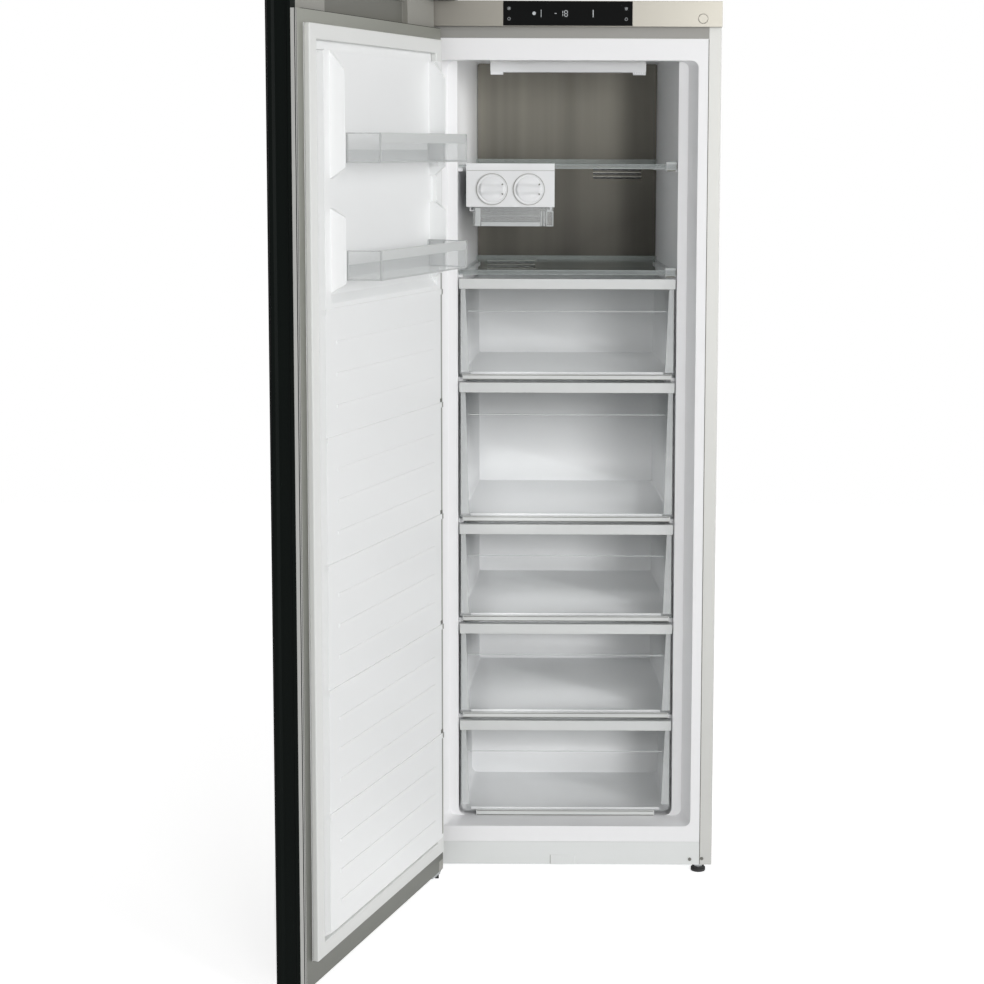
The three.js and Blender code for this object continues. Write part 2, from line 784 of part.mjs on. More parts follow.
function evaporatorFan() {
  const hub = rod('y', [0, fanHeight], fanHub, airPanelFront + 9, airPanelFront + 23, 20);
  const shaft = rod('y', [0, fanHeight], fanShaft, airPanelFront + 20, airPanelFront + 40, 12);
  const blades = [];
  for (let i = 0; i < fanBlades; i += 1) {
    const blade = prism('x', [
      [airPanelFront + 11, -14],
      [airPanelFront + 12.5, -14],
      [airPanelFront + 21, 14],
      [airPanelFront + 19.5, 14],
    ], fanHub - 3, fanRadius);
    blades.push(blade.rotate([0, (360 * i) / fanBlades, 0]).translate([0, 0, fanHeight]));
  }
  return join(hub, shaft, blades);
}

function lightCover() {
  const low = ceiling - lightDrop;
  const body = loft([
    ring(52, [-lightHalf, lightHalf], [low + 1, ceiling], 3),
    ring(62, [-lightHalf, lightHalf], [low, ceiling], 3),
    ring(128, [3.5 - lightHalf, lightHalf - 3.5], [low + 13, ceiling], 3),
  ]);
  const ends = [-1, 1].map((side) => {
    const range = [side * (lightHalf - 25), side * (lightHalf - 0.5)].sort((a, b) => a - b);
    return block(range, [54, 74], [low - 4, low + 15]);
  });
  return join(body, ends);
}

// --------------------------------------------------------------- cooling, machine bay

function compressor() {
  const wide = compressorRadius;
  const profile = [
    [0, 0],
    [wide - 19, 0],
    [wide - 3, 10],
    [wide, 24],
    [wide, compressorHeight - 56],
    [wide - 5, compressorHeight - 30],
    [wide - 25, compressorHeight - 8],
    [wide - 57, compressorHeight],
    [0, compressorHeight],
  ];
  const points = profile.map(([r, z]) => new THREE.Vector2(r, z));
  const dome = new THREE.LatheGeometry(points, 28);
  dome.rotateX(Math.PI / 2);
  dome.scale(1.12, 0.92, 1);
  dome.translate(compressorX, compressorY, trayTop + compressorLift);
  const can = solid(dome);
  const base = block([compressorX - 100, compressorX + 100], [compressorY - 62, compressorY + 62],
    [trayTop + 18, trayTop + 27]);
  const feet = [];
  for (const dx of [-86, 86]) {
    for (const dy of [-50, 50]) {
      feet.push(rod('z', [compressorX + dx, compressorY + dy], 11, trayTop, trayTop + 19, 12));
    }
  }
  const stubs = [stubLow, stubHigh].map(([y, z]) => rod('x', [y, z], 5, compressorX + 60, stubEnd, 12));
  return join(can, base, feet, stubs);
}

function dripTray() {
  const x = [compressorX - 90, compressorX + 90];
  const y = [compressorY - 65, compressorY + 80];
  const top = bayTop - 17;
  const shell = block(x, y, [compressorTop + gap, top]);
  const room = block([x[0] + wall, x[1] - wall], [y[0] + wall, y[1] - wall],
    [compressorTop + gap + wall, top + 1]);
  return cut(shell, room);
}

// Serpentine of tube held by two upright straps that stand on the floor sheet.
function condenser() {
  const path = new THREE.CurvePath();
  const bend = condenserPitch / 2;
  for (let i = 0; i < condenserRuns; i += 1) {
    const z = condenserLow + i * condenserPitch;
    const [from, to] = i % 2 ? [condenserRight, condenserLeft] : [condenserLeft, condenserRight];
    const out = Math.sign(to - from);
    const start = new THREE.Vector3(from, condenserY, z);
    const end = new THREE.Vector3(to, condenserY, z);
    path.add(new THREE.LineCurve3(start, end));
    if (i + 1 < condenserRuns) {
      const a = new THREE.Vector3(to + out * bend * 1.33, condenserY, z);
      const b = new THREE.Vector3(to + out * bend * 1.33, condenserY, z + condenserPitch);
      const next = new THREE.Vector3(to, condenserY, z + condenserPitch);
      path.add(new THREE.CubicBezierCurve3(end, a, b, next));
    }
  }
  const pipe = tube(path, tubeRadius, 150);
  const top = condenserLow + (condenserRuns - 1) * condenserPitch + 6;
  const straps = [-1, 1].map((side) => {
    const x = (condenserLeft + condenserRight) / 2 + side * 70;
    return block([x - 4, x + 4], [condenserY - 4, condenserY - 1], [trayTop, top]);
  });
  return join(pipe, straps);
}

function curveThrough(points) {
  return new THREE.CatmullRomCurve3(points.map((p) => new THREE.Vector3(...p)), false, 'centripetal');
}

function dischargePipe() {
  const [y, z] = stubLow;
  const route = [
    [stubEnd + gap, y, z],
    [stubEnd + 12, y, z],
    [stubEnd + 16, y + 20, z - 10],
    [stubEnd + 16, condenserY - 20, condenserLow + 8],
    [stubEnd + 22, condenserY, condenserLow],
    [condenserLeft - gap, condenserY, condenserLow],
  ];
  return tube(curveThrough(route), tubeRadius, 30);
}

function suctionPipe() {
  const [y, z] = stubHigh;
  const route = [
    [stubEnd + gap, y, z],
    [stubEnd + 14, y, z],
    [stubEnd + 24, y, z + 12],
    [stubEnd + 24, y, bayTop - pressedSheet - gap],
  ];
  return tube(curveThrough(route), tubeRadius + 1, 20);
}

// Upright drier on the outlet of the condenser's last run.
function filterDrier() {
  const x = condenserRight + 8;
  const z = condenserLow + (condenserRuns - 1) * condenserPitch;
  const profile = [[0, 0], [3, 0], [3, 10], [9, 16], [9, 92], [3, 98], [3, 112], [0, 112]];
  const points = profile.map(([r, h]) => new THREE.Vector2(r, h));
  const can = new THREE.LatheGeometry(points, 16);
  can.rotateX(Math.PI / 2);
  can.translate(x + 12, condenserY - 14, z - 114);
  const elbow = curveThrough([
    [condenserRight + gap, condenserY, z],
    [x, condenserY - 1, z],
    [x + 10, condenserY - 8, z - 1],
    [x + 12, condenserY - 14, z - 8],
  ]);
  return [solid(can), tube(elbow, tubeRadius - 0.5, 12)];
}

function powerInlet() {
  const shell = block([gap - sideInner, 44 - sideInner], [backInner - 42, backInner - 6], [120, 176]);
  const socket = block([10 - sideInner, 37 - sideInner], [backInner - 26, backInner], [136, 160]);
  const pins = [-1, 0, 1].map((step) => {
    const left = 22 + step * 8 - sideInner;
    return block([left, left + 2.5], [backInner - 27, backInner - 12], [146, 151]);
  });
  return join(cut(shell, socket), pins);
}

// ---------------------------------------------------------------- glass and drawers

// A plate that follows the cavity's taper between two depths.
function taperedPlate(front, back, sideGap, bottom, top) {
  const a = cavityHalfAt(front) - sideGap;
  const b = cavityHalfAt(back) - sideGap;
  return prism('z', [[-a, front], [a, front], [b, back], [-b, back]], bottom, top);
}

function shelf(bottom, trimLeft) {
  const pane = taperedPlate(shelfFront + 4, shelfBack, glassSideGap, bottom, bottom + glass);
  const rear = taperedPlate(shelfBack - 8, shelfBack, glassSideGap, bottom, bottom + shelfTrim + 4);
  const half = cavityHalfAt(shelfFront) - glassSideGap;
  const trim = block([trimLeft, half], [shelfFront, shelfFront + 6],
    [bottom - (shelfTrim - glass) / 2, bottom + glass + (shelfTrim - glass) / 2]);
  return join(pane, rear, trim);
}

// Solid with the tapered plan and the round lower edges of a drawer.
function drawerBody(front, back, inset, bottom, top, radius) {
  const rings = [front, back].map((y) => {
    const half = cavityHalfAt(y) - drawerSideGap - inset;
    return ring(y, [-half, half], [bottom, top + radius], radius);
  });
  const above = block([-halfWidth, halfWidth], [front - 1, back + 1], [top, top + 2 * radius]);
  return cut(loft(rings), above);
}

// A drawer over a glass plate has a full lip in front of the plate; the lowest one has
// a shorter lip and two runners on the cavity's floor.
function drawer(top, lipBottom, floorBottom, back, radius, onRunners) {
  const half = cavityHalfAt(drawerFront) - drawerSideGap;
  const lipHalf = half - (onRunners ? runnerInset : radius);
  const paneFront = drawerFront + 4;
  const sideTop = top - drawerRail;
  const outer = drawerBody(paneFront, back, 0, floorBottom, sideTop, radius);
  const inner = drawerBody(paneFront + drawerWall, back - drawerWall, drawerWall,
    floorBottom + drawerWall, sideTop + 1, radius - drawerWall);
  const rail = block([-half, half], [drawerFront, drawerFront + drawerRailDepth], [sideTop - 0.1, top]);
  const lip = block([-lipHalf, lipHalf], [drawerFront + 2, drawerFront + 8],
    [lipBottom, floorBottom + drawerWall]);
  const line = block([-half + drawerPost, half - drawerPost], [paneFront - 0.8, paneFront + 1],
    [top - drawerLineDrop - 1.5, top - drawerLineDrop]);
  const posts = [-1, 1].map((side) => {
    const range = [side * (half - drawerPost), side * (half - drawerWall)].sort((a, b) => a - b);
    return block(range, [paneFront + 1, paneFront + 1 + drawerPostDepth], [floorBottom + radius, sideTop]);
  });
  const runners = onRunners ? [-lipHalf, lipHalf - runnerWidth].map((x) => (
    block([x, x + runnerWidth], [drawerFront + 7, back - radius], [lipBottom, floorBottom + 1]))) : [];
  return join(cut(outer, inner), rail, lip, line, posts, runners);
}

// --------------------------------------------------------------------- the ice maker

function iceMakerHousing() {
  const front = block([iceLeft, iceRight], [iceFront, iceFront + 3], [iceBottom, iceTop]);
  const seam = block([iceLeft + 1, iceRight - 1], [iceFront - 1, iceFront + 0.8],
    [iceTop - 16, iceTop - 15]);
  const glassUnder = upperGlassBottom - gap;
  const railStart = iceFront + 14;
  const walls = [];
  for (const side of [-1, 1]) {
    const edge = (side < 0 ? iceLeft : iceRight) - side * iceInset;
    const range = (near, far) => [edge - side * near, edge - side * far].sort((a, b) => a - b);
    walls.push(
      block(range(0, 3), [iceFront + 2, iceBack], [iceBottom, glassUnder]),
      block(range(0, 3), [railStart, iceBack], [iceBottom - iceRailDrop, iceBottom + 1]),
      block(range(2, 9), [railStart, iceBack], [iceBottom - iceRailDrop, iceBottom - iceRailDrop + 2.5]),
    );
  }
  const back = block([iceLeft + iceInset, iceRight - iceInset], [iceBack - 3, iceBack],
    [iceBottom - 1, glassUnder]);
  const bores = knobXs.flatMap((x) => [
    rod('y', [x, knobAxisZ], knobRadius + gap, iceFront - 1, iceFront + 4, 36),
    rod('y', [x, knobAxisZ], 4 + gap, iceBack - 4, iceBack + 1, 12),
  ]);
  return cut(join(front, walls, back), seam, bores);
}

// A twisting tray with its knob and its rear pin in one piece.
function iceTray(x) {
  const knob = rod('y', [x, knobAxisZ], knobRadius, iceFront - 1.5, iceFront + 3, 36);
  const grip = block([x - 25, x + 25], [iceFront - 7, iceFront], [knobAxisZ - 3, knobAxisZ + 3]);
  const pan = block([x - trayHalf, x + trayHalf], [iceFront + 2, iceBack - 8],
    [knobAxisZ - trayDrop, knobAxisZ + trayRise]);
  const floor = knobAxisZ - trayDrop + 3;
  const pool = [iceFront + 12, iceBack - 12];
  const room = block([x - trayHalf + 3, x + trayHalf - 3], pool, [floor, knobAxisZ + trayRise + 1]);
  const dividers = [block([x - 1, x + 1], [pool[0] - 1, pool[1] + 1], [floor - 1, floor + trayDivider])];
  for (let i = 1; i < trayRows; i += 1) {
    const y = pool[0] + (i * (pool[1] - pool[0])) / trayRows;
    dividers.push(block([x - trayHalf + 1, x + trayHalf - 1], [y - 1, y + 1],
      [floor - 1, floor + trayDivider]));
  }
  const pin = rod('y', [x, knobAxisZ], 4, iceBack - 9, iceBack + 2, 12);
  return join(cut(join(knob, grip, pan, pin), room), dividers);
}

function iceBox() {
  const rimBottom = iceBottom - iceRailDrop + 2.5 + gap;
  const top = rimBottom + 3;
  const bottom = top - iceBoxHeight;
  const x = [iceLeft + iceInset + 9 + gap, iceRight - iceInset - 9 - gap];
  const y = [iceFront + 5, iceBack - 6];
  const shell = block(x, y, [bottom, top]);
  const rim = block([x[0] - 5.5, x[1] + 5.5], [iceFront + 16, y[1]], [rimBottom, top]);
  const front = block([x[0] - 1.5, x[1] + 13], [y[0] - 3, y[0] + 0.5], [bottom, iceBottom - gap]);
  const room = block([x[0] + 2, x[1] - 2], [y[0] + 2, y[1] - 2], [bottom + 2, top + 1]);
  return cut(join(shell, rim, front), room);
}

// -------------------------------------------------------------------------- the door

// A range of heights over the door's inner plane.
function over(from, to) {
  return [doorInner + from, doorInner + to];
}

function doorFrontPanel() {
  return block([-halfWidth, halfWidth], [doorOuter, doorOuter + frontPanel], [doorBottom, doorTop]);
}

// Dark profile on the free edge, with a shallow full-height finger channel.
function doorEdgeProfile() {
  const front = ringBack - gap;
  const inner = halfWidth - edgeProfileDepth;
  const outline = [
    [inner, profileBack],
    [halfWidth, profileBack],
    [halfWidth, profileBack + 7],
    [halfWidth - channelDepth, profileBack + 7 + channelDepth],
    [halfWidth - channelDepth, front - 6 - channelDepth],
    [halfWidth, front - 6],
    [halfWidth, front],
    [inner, front],
  ];
  return prism('z', outline, doorBottom, doorTop);
}

// Silver frame: a band round the inner face, the hinge side and the bottom.
function doorFrame() {
  const band = cut(
    block([-halfWidth, halfWidth], [ringBack, doorInner], [doorBottom, bandTop]),
    block([bandSide - halfWidth, halfWidth - bandSide], [ringBack - 1, doorInner + 1],
      [bandInnerLow, bandInnerHigh]),
  );
  const hingeSide = block([-halfWidth, wall - halfWidth], [profileBack, ringBack], [doorBottom, bandTop]);
  const bottom = block([-halfWidth, capRight], [profileBack, ringBack], [doorBottom, doorBottom + wall]);
  const grooves = frameGrooves.map((range) => (
    block([halfWidth - frameGrooveDepth, halfWidth + 1], over(...range), [doorBottom - 1, bandTop + 1])));
  const pinBore = rod('z', [hingeX, hingeY], pinRadius + gap, doorBottom - 1, doorBottom + pinReach / 2);
  return cut(join(band, hingeSide, bottom), grooves, pinBore);
}

// Grey cap over the band: two raised end blocks with a deeper middle between them.
function doorTopCap() {
  const middle = doorInner - capMiddle;
  const bottom = bandTop + gap;
  const body = block([-halfWidth, capRight], [profileBack, middle], [bottom, doorTop]);
  const blocks = [[-halfWidth, capHingeBlock - halfWidth], [capRight - capFreeBlock, capRight]];
  const ends = blocks.map((range) => (
    block(range, [middle - 1, doorInner - capEnd], [bandTop + capSeam, doorTop])));
  const lip = block([-halfWidth, capRight], [middle - 1, doorInner - capLip],
    [doorTop - capLipHeight, doorTop]);
  const pinBore = rod('z', [hingeX, hingeY], pinRadius + gap, doorTop - pinReach - pinRoom, doorTop + 1);
  return cut(join(body, ends, lip), pinBore);
}

// The hollow behind the door liner that foam fills, smaller on all sides by `room`.
function linerHollow(room) {
  const half = dykeHalf - dykeDraft - wall - room;
  const bottom = dykeBottom + dykeFootDraft + wall + room;
  const low = block([-half, half], over(-wall - 1, dykeHeight - wall - room),
    [bottom, pocketBottom - room - 3]);
  const all = block([-half, half], over(-wall - 1, pocketHeight - wall - room),
    [bottom, dykeTop - wall - room]);
  return join(low, all);
}

function doorFoam() {
  const slab = block([wall + gap - halfWidth, capRight], [profileBack, ringBack - gap],
    [doorBottom + wall + gap, bandTop]);
  const half = halfWidth - bandSide - gap;
  const core = block([-half, half], [ringBack - 1, doorInner - wall - gap],
    [bandInnerLow + gap, bandInnerHigh - gap]);
  const pinBore = rod('z', [hingeX, hingeY], pinRadius + 2 * gap, 0, doorBottom + pinReach + pinRoom);
  return cut(join(slab, core, linerHollow(gap)), pinBore);
}

// Raised cheek on the right of the pocket: its height range at the foot and at the crest.
function cheek(zBase, zCrest) {
  const outer = dykeHalf - borderWidth;
  const crest = cheekWall + cheekCrestWidth;
  const low = doorInner + pocketHeight - 1;
  const middle = doorInner + dykeHeight;
  const high = doorInner + cheekCrest;
  const corners = (y, x, [z0, z1]) => [[cheekWall, y, z0], [cheekWall, y, z1], [x, y, z1], [x, y, z0]];
  return loft([
    corners(low, outer + 0.5, zBase),
    corners(middle, outer, zBase),
    corners(high, crest, zCrest),
  ]);
}

function doorLiner() {
  const half = halfWidth - bandSide - gap;
  const base = block([-half, half], over(-wall, 0),
    [bandInnerLow + gap, bandInnerHigh - gap]);
  const dyke = loft([
    ring(doorInner - 1, [-dykeHalf, dykeHalf], [dykeBottom, dykeTop], 5),
    ring(doorInner, [-dykeHalf, dykeHalf], [dykeBottom, dykeTop], 5),
    ring(doorInner + dykeHeight, [dykeDraft - dykeHalf, dykeHalf - dykeDraft],
      [dykeBottom + dykeFootDraft, dykeTop], 5),
  ]);
  const floorHalf = dykeHalf - borderWidth;
  const pocket = prism('x', [
    [doorInner + pocketHeight, dykeTop + 10],
    [doorInner + pocketHeight, pocketBottom + pocketSlope],
    [doorInner + dykeHeight, pocketBottom],
    [doorInner + dykeHeight + 10, pocketBottom],
    [doorInner + dykeHeight + 10, dykeTop + 10],
  ], -floorHalf, floorHalf);
  const upper = [balconyBottoms[0] - upperCheek.below, dykeTop - 1];
  const lowerFoot = balconyBottoms[1] - lowerCheek.below;
  const lower = [lowerFoot, lowerFoot + lowerCheek.height];
  const cheeks = [
    cheek(upper, [upper[0] + upperCheek.slopeUp, upper[1] - upperCheek.slopeDown]),
    cheek(lower, [lower[0] + lowerCheek.slope, lower[1] - lowerCheek.slope]),
  ];
  const lugs = balconyBottoms.map((z) => (
    block([balconyBaseHalf - 6, cheekWall + 1], over(...lugRange), [z - gap - lugHeight, z - gap])));
  const sides = [...cheeks, ...lugs].flatMap((body) => [body, mirrored(body)]);
  return cut(join(cut(join(base, dyke), pocket), sides, linerRibs()), linerHollow(0));
}

// Raised lines across the lower part of the door liner.
function linerRibs() {
  const ribs = [];
  const half = dykeHalf - dykeDraft;
  const minorHalf = half - minorRibInset;
  for (let i = 0; i < ribCount; i += 1) {
    const z = ribTop - i * ribPitch;
    ribs.push(block([-half - 1, half + 1], over(dykeHeight - 5, dykeHeight + ribRise),
      [z - ribHalf, z + ribHalf]));
    for (let k = 1; k <= minorRibs; k += 1) {
      const lower = z - (k * ribPitch) / (minorRibs + 1);
      ribs.push(block([-minorHalf, minorHalf], over(dykeHeight - 1, dykeHeight + minorRibRise),
        [lower - minorRibHalf, lower + minorRibHalf]));
    }
  }
  return ribs;
}

function doorGasket() {
  const outer = halfWidth - bandSide - gap;
  const inner = dykeHalf + gap;
  const z = [bandInnerLow + gap, bandInnerHigh - gap];
  const y = [doorInner + gap, -gap];
  return cut(
    block([-outer, outer], y, z),
    block([-inner, inner], [y[0] - 1, y[1] + 1], [z[0] + gasketWidth - gap, z[1] - gasketWidth + gap]),
  );
}

// Bin that hangs between two cheeks of the door liner.
function balcony(bottom) {
  const back = doorInner + pocketHeight + gap;
  const knee = doorInner + cheekCrest;
  const front = doorInner + balconyFront;
  const outline = (inset) => [
    [inset - balconyBaseHalf, back + inset],
    [balconyBaseHalf - inset, back + inset],
    [balconyBaseHalf - balconyFlare - inset, knee],
    [balconyFrontHalf - inset, front - inset],
    [inset - balconyFrontHalf, front - inset],
    [balconyFlare + inset - balconyBaseHalf, knee],
  ];
  const top = bottom + balconyHeight;
  const shell = prism('z', outline(0), bottom, top);
  const room = prism('z', outline(balconyWall), bottom + balconyFloor, top + 1);
  const lowBack = block([10 - balconyBaseHalf, balconyBaseHalf - 10], [back - 1, knee - 10],
    [bottom + balconyBackHeight, top + 1]);
  const rail = block([4 - balconyFrontHalf, balconyFrontHalf - 4], [front - 5, front - 1],
    [top - balconyRail, top]);
  return join(cut(shell, room, lowBack), rail);
}

// -------------------------------------------------------------------------- assembly

const model = new THREE.Group();

const leftPanel = mirrored(sidePanel());
place(model, 'side_panel_left', leftPanel, 'silver');
place(model, 'side_panel_right', sidePanel(), 'silver');
place(model, 'top_panel', block([-halfWidth, halfWidth], [0, cabinetDepth],
  [topInner, cabinetHeight]), 'silver');
place(model, 'rear_panel', block([-halfWidth, halfWidth], [backInner, cabinetDepth],
  [bayTop - pressedSheet, topInner]), 'zinc');
place(model, 'base_tray', baseTray(), 'zinc');
place(model, 'machine_bay_plate', machineBayPlate(), 'zinc');
place(model, 'insulation_foam', foamBlock(), 'foam');
place(model, 'inner_liner', innerLiner(), 'white');
place(model, 'front_crossbar', block([-frameHalf, frameHalf], [0, pressedSheet],
  [frameTop, topInner]), 'silver');
place(model, 'control_panel', controlPanel(), 'greyTrim');
place(model, 'display_glass', displayGlass(), 'black');
place(model, 'screw_plug', screwPlug(), 'greyTrim');
place(model, 'plinth_panel', plinthPanel(), 'white');
place(model, 'top_hinge_bracket', topHingeBracket(), 'zinc');
place(model, 'top_hinge_cover', topHingeCover(), 'black');
place(model, 'bottom_hinge_bracket', bottomHingeBracket(), 'zinc');
place(model, 'front_foot_left', frontFoot(-1), 'rubber');
place(model, 'front_foot_right', frontFoot(1), 'rubber');
place(model, 'rear_roller_left', rearRoller(-1), 'rubber');
place(model, 'rear_roller_right', rearRoller(1), 'rubber');
place(model, 'rear_air_panel', rearAirPanel(), 'steel');
place(model, 'evaporator', evaporator(), 'aluminium');
place(model, 'drain_trough', drainTrough(), 'whiteTrim');
place(model, 'fan_motor', fanMotor(), 'zinc');
place(model, 'evaporator_fan', evaporatorFan(), 'whiteTrim');
place(model, 'light_cover', lightCover(), 'clear');
place(model, 'compressor', compressor(), 'blackPaint');
place(model, 'drip_tray', dripTray(), 'black');
place(model, 'condenser', condenser(), 'blackPaint');
place(model, 'discharge_pipe', dischargePipe(), 'copper');
place(model, 'suction_pipe', suctionPipe(), 'copper');
place(model, 'filter_drier', join(filterDrier()), 'copper');
place(model, 'power_inlet', powerInlet(), 'black');

plateBottoms.forEach((bottom, i) => {
  const plate = taperedPlate(glassFront, shelfBack, glassSideGap, bottom, bottom + glass);
  place(model, `drawer_plate_${i + 1}`, plate, 'glass');
});
drawerTops.forEach((top, i) => {
  const onGlass = i < plateBottoms.length;
  const seat = (onGlass ? plateBottoms[i] + glass : cavityFloor) + gap;
  const floorBottom = onGlass ? seat : seat + drawerLip;
  const lipBottom = onGlass ? drawerTops[i + 1] + drawerSpacing : seat;
  const back = onGlass ? airPanelFront - drawerBackGap : humpFront - drawerBackGap / 2;
  const radius = onGlass ? drawerRadius : cornerRadius;
  const body = drawer(top, lipBottom, floorBottom, back, radius, !onGlass);
  place(model, `drawer_${i + 1}`, body, 'clear');
});
const shelfHalf = cavityHalfAt(shelfFront) - glassSideGap;
place(model, 'shelf_upper', shelf(upperGlassBottom, iceRight + gap), 'glass');
place(model, 'shelf_lower', shelf(lowerGlassBottom, -shelfHalf), 'glass');
place(model, 'ice_maker_housing', iceMakerHousing(), 'white');
place(model, 'ice_tray_left', iceTray(knobXs[0]), 'white');
place(model, 'ice_tray_right', iceTray(knobXs[1]), 'white');
place(model, 'ice_box', iceBox(), 'clear');

// The door turns about its hinge axis; its pieces are drawn where they lie when shut.
const doorPieces = new THREE.Group();
doorPieces.position.set(-hingeX, -hingeY, 0);
const doorSwing = new THREE.Group();
doorSwing.position.set(hingeX, hingeY, 0);
doorSwing.rotation.z = THREE.MathUtils.degToRad(-doorOpening);
doorSwing.add(doorPieces);
model.add(doorSwing);

place(doorPieces, 'door_front_panel', doorFrontPanel(), 'black');
place(doorPieces, 'door_edge_profile', doorEdgeProfile(), 'black');
place(doorPieces, 'door_frame', doorFrame(), 'silver');
place(doorPieces, 'door_top_cap', doorTopCap(), 'greyTrim');
place(doorPieces, 'door_foam', doorFoam(), 'foam');
place(doorPieces, 'door_liner', doorLiner(), 'white');
place(doorPieces, 'door_gasket', doorGasket(), 'gasket');
place(doorPieces, 'balcony_upper', balcony(balconyBottoms[0]), 'clear');
place(doorPieces, 'balcony_lower', balcony(balconyBottoms[1]), 'clear');

// The part's origin is the middle of its outline on the floor, with the door as it stands.
model.updateMatrixWorld(true);
const outline = new THREE.Box3().setFromObject(model, true);
const middle = outline.getCenter(new THREE.Vector3());
model.position.set(-middle.x, -middle.y, -outline.min.z);

const freezer = new THREE.Group();
freezer.add(model);

export default freezer;
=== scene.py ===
"""Looks of an upright freezer that stands with its door open.

Sizes are in millimetres in the cabinet's own axes: x = 0 is the cabinet's middle, y = 0 its
front frame, z = 0 the floor. Door pieces are drawn with the door shut and then turned with it.
"""

import json
import math

import bmesh
import bpy
from mathutils import Matrix, Vector

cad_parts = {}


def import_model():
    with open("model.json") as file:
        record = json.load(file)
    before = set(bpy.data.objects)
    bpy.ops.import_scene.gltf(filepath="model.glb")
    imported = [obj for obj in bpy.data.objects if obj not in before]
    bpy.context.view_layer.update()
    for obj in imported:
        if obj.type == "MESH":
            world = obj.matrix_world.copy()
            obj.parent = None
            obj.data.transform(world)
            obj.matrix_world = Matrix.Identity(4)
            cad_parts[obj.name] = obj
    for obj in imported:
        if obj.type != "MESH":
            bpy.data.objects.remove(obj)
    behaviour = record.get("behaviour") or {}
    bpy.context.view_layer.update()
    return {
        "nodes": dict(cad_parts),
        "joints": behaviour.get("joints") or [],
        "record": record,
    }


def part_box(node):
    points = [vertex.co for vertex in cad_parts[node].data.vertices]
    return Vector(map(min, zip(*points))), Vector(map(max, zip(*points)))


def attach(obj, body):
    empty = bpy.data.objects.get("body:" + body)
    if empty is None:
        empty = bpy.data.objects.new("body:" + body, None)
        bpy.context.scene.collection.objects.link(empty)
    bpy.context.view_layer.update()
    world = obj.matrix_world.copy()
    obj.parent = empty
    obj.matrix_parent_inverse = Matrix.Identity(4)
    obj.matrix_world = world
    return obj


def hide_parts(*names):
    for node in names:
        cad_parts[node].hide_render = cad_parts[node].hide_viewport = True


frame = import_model()

MM = 0.001

# ------------------------------------------------------------------ the cabinet's own axes

casing_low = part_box("side_panel_left")[0]
casing_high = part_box("side_panel_right")[1]
ORIGIN = Vector(((casing_low.x + casing_high.x) / 2, casing_low.y, 0.0))
HALF_WIDTH = (casing_high.x - casing_low.x) / 2 / MM

joints = {joint["name"]: joint for joint in frame["joints"]}
hinge = joints["door_hinge"]
HINGE = Vector((hinge["pos_m"][0], hinge["pos_m"][1], 0.0))
DOOR_TURN = math.radians(hinge["range_deg"][0])
OPEN_DOOR = (Matrix.Translation(HINGE) @ Matrix.Rotation(DOOR_TURN, 4, "Z")
             @ Matrix.Translation(-HINGE))
bodies = frame["record"]["behaviour"]["bodies"]
body_of = {node: body for body, nodes in bodies.items() for node in nodes}
slot_of = {part["node"]: part["material_slot"] for part in frame["record"]["subparts"]}
DOOR_BODIES = ("door", "upper_balcony", "lower_balcony")


def placing(body):
    """Matrix from cabinet millimetres to the frame's metres, for a piece on that body."""
    to_metres = Matrix.Translation(ORIGIN) @ Matrix.Scale(MM, 4)
    return OPEN_DOOR @ to_metres if body in DOOR_BODIES else to_metres


def mesh_points(node):
    """Every vertex of a node's CAD mesh in cabinet millimetres, the door shut."""
    back = placing(body_of[node]).inverted()
    return [back @ v.co for v in frame["nodes"][node].data.vertices]


def span(node):
    """Lowest and highest corner of a node in cabinet millimetres, the door shut."""
    points = mesh_points(node)
    low = Vector([min(p[i] for p in points) for i in range(3)])
    high = Vector([max(p[i] for p in points) for i in range(3)])
    return low, high


# ------------------------------------------------------------------------------ materials

RELIEF_DEPTH = 0.0003  # metres


def srgb(red, green, blue):
    """A colour read off a screen, as the linear colour that shaders use."""
    parts = [value / 255 for value in (red, green, blue)]
    return [p / 12.92 if p <= 0.04045 else ((p + 0.055) / 1.055) ** 2.4 for p in parts]


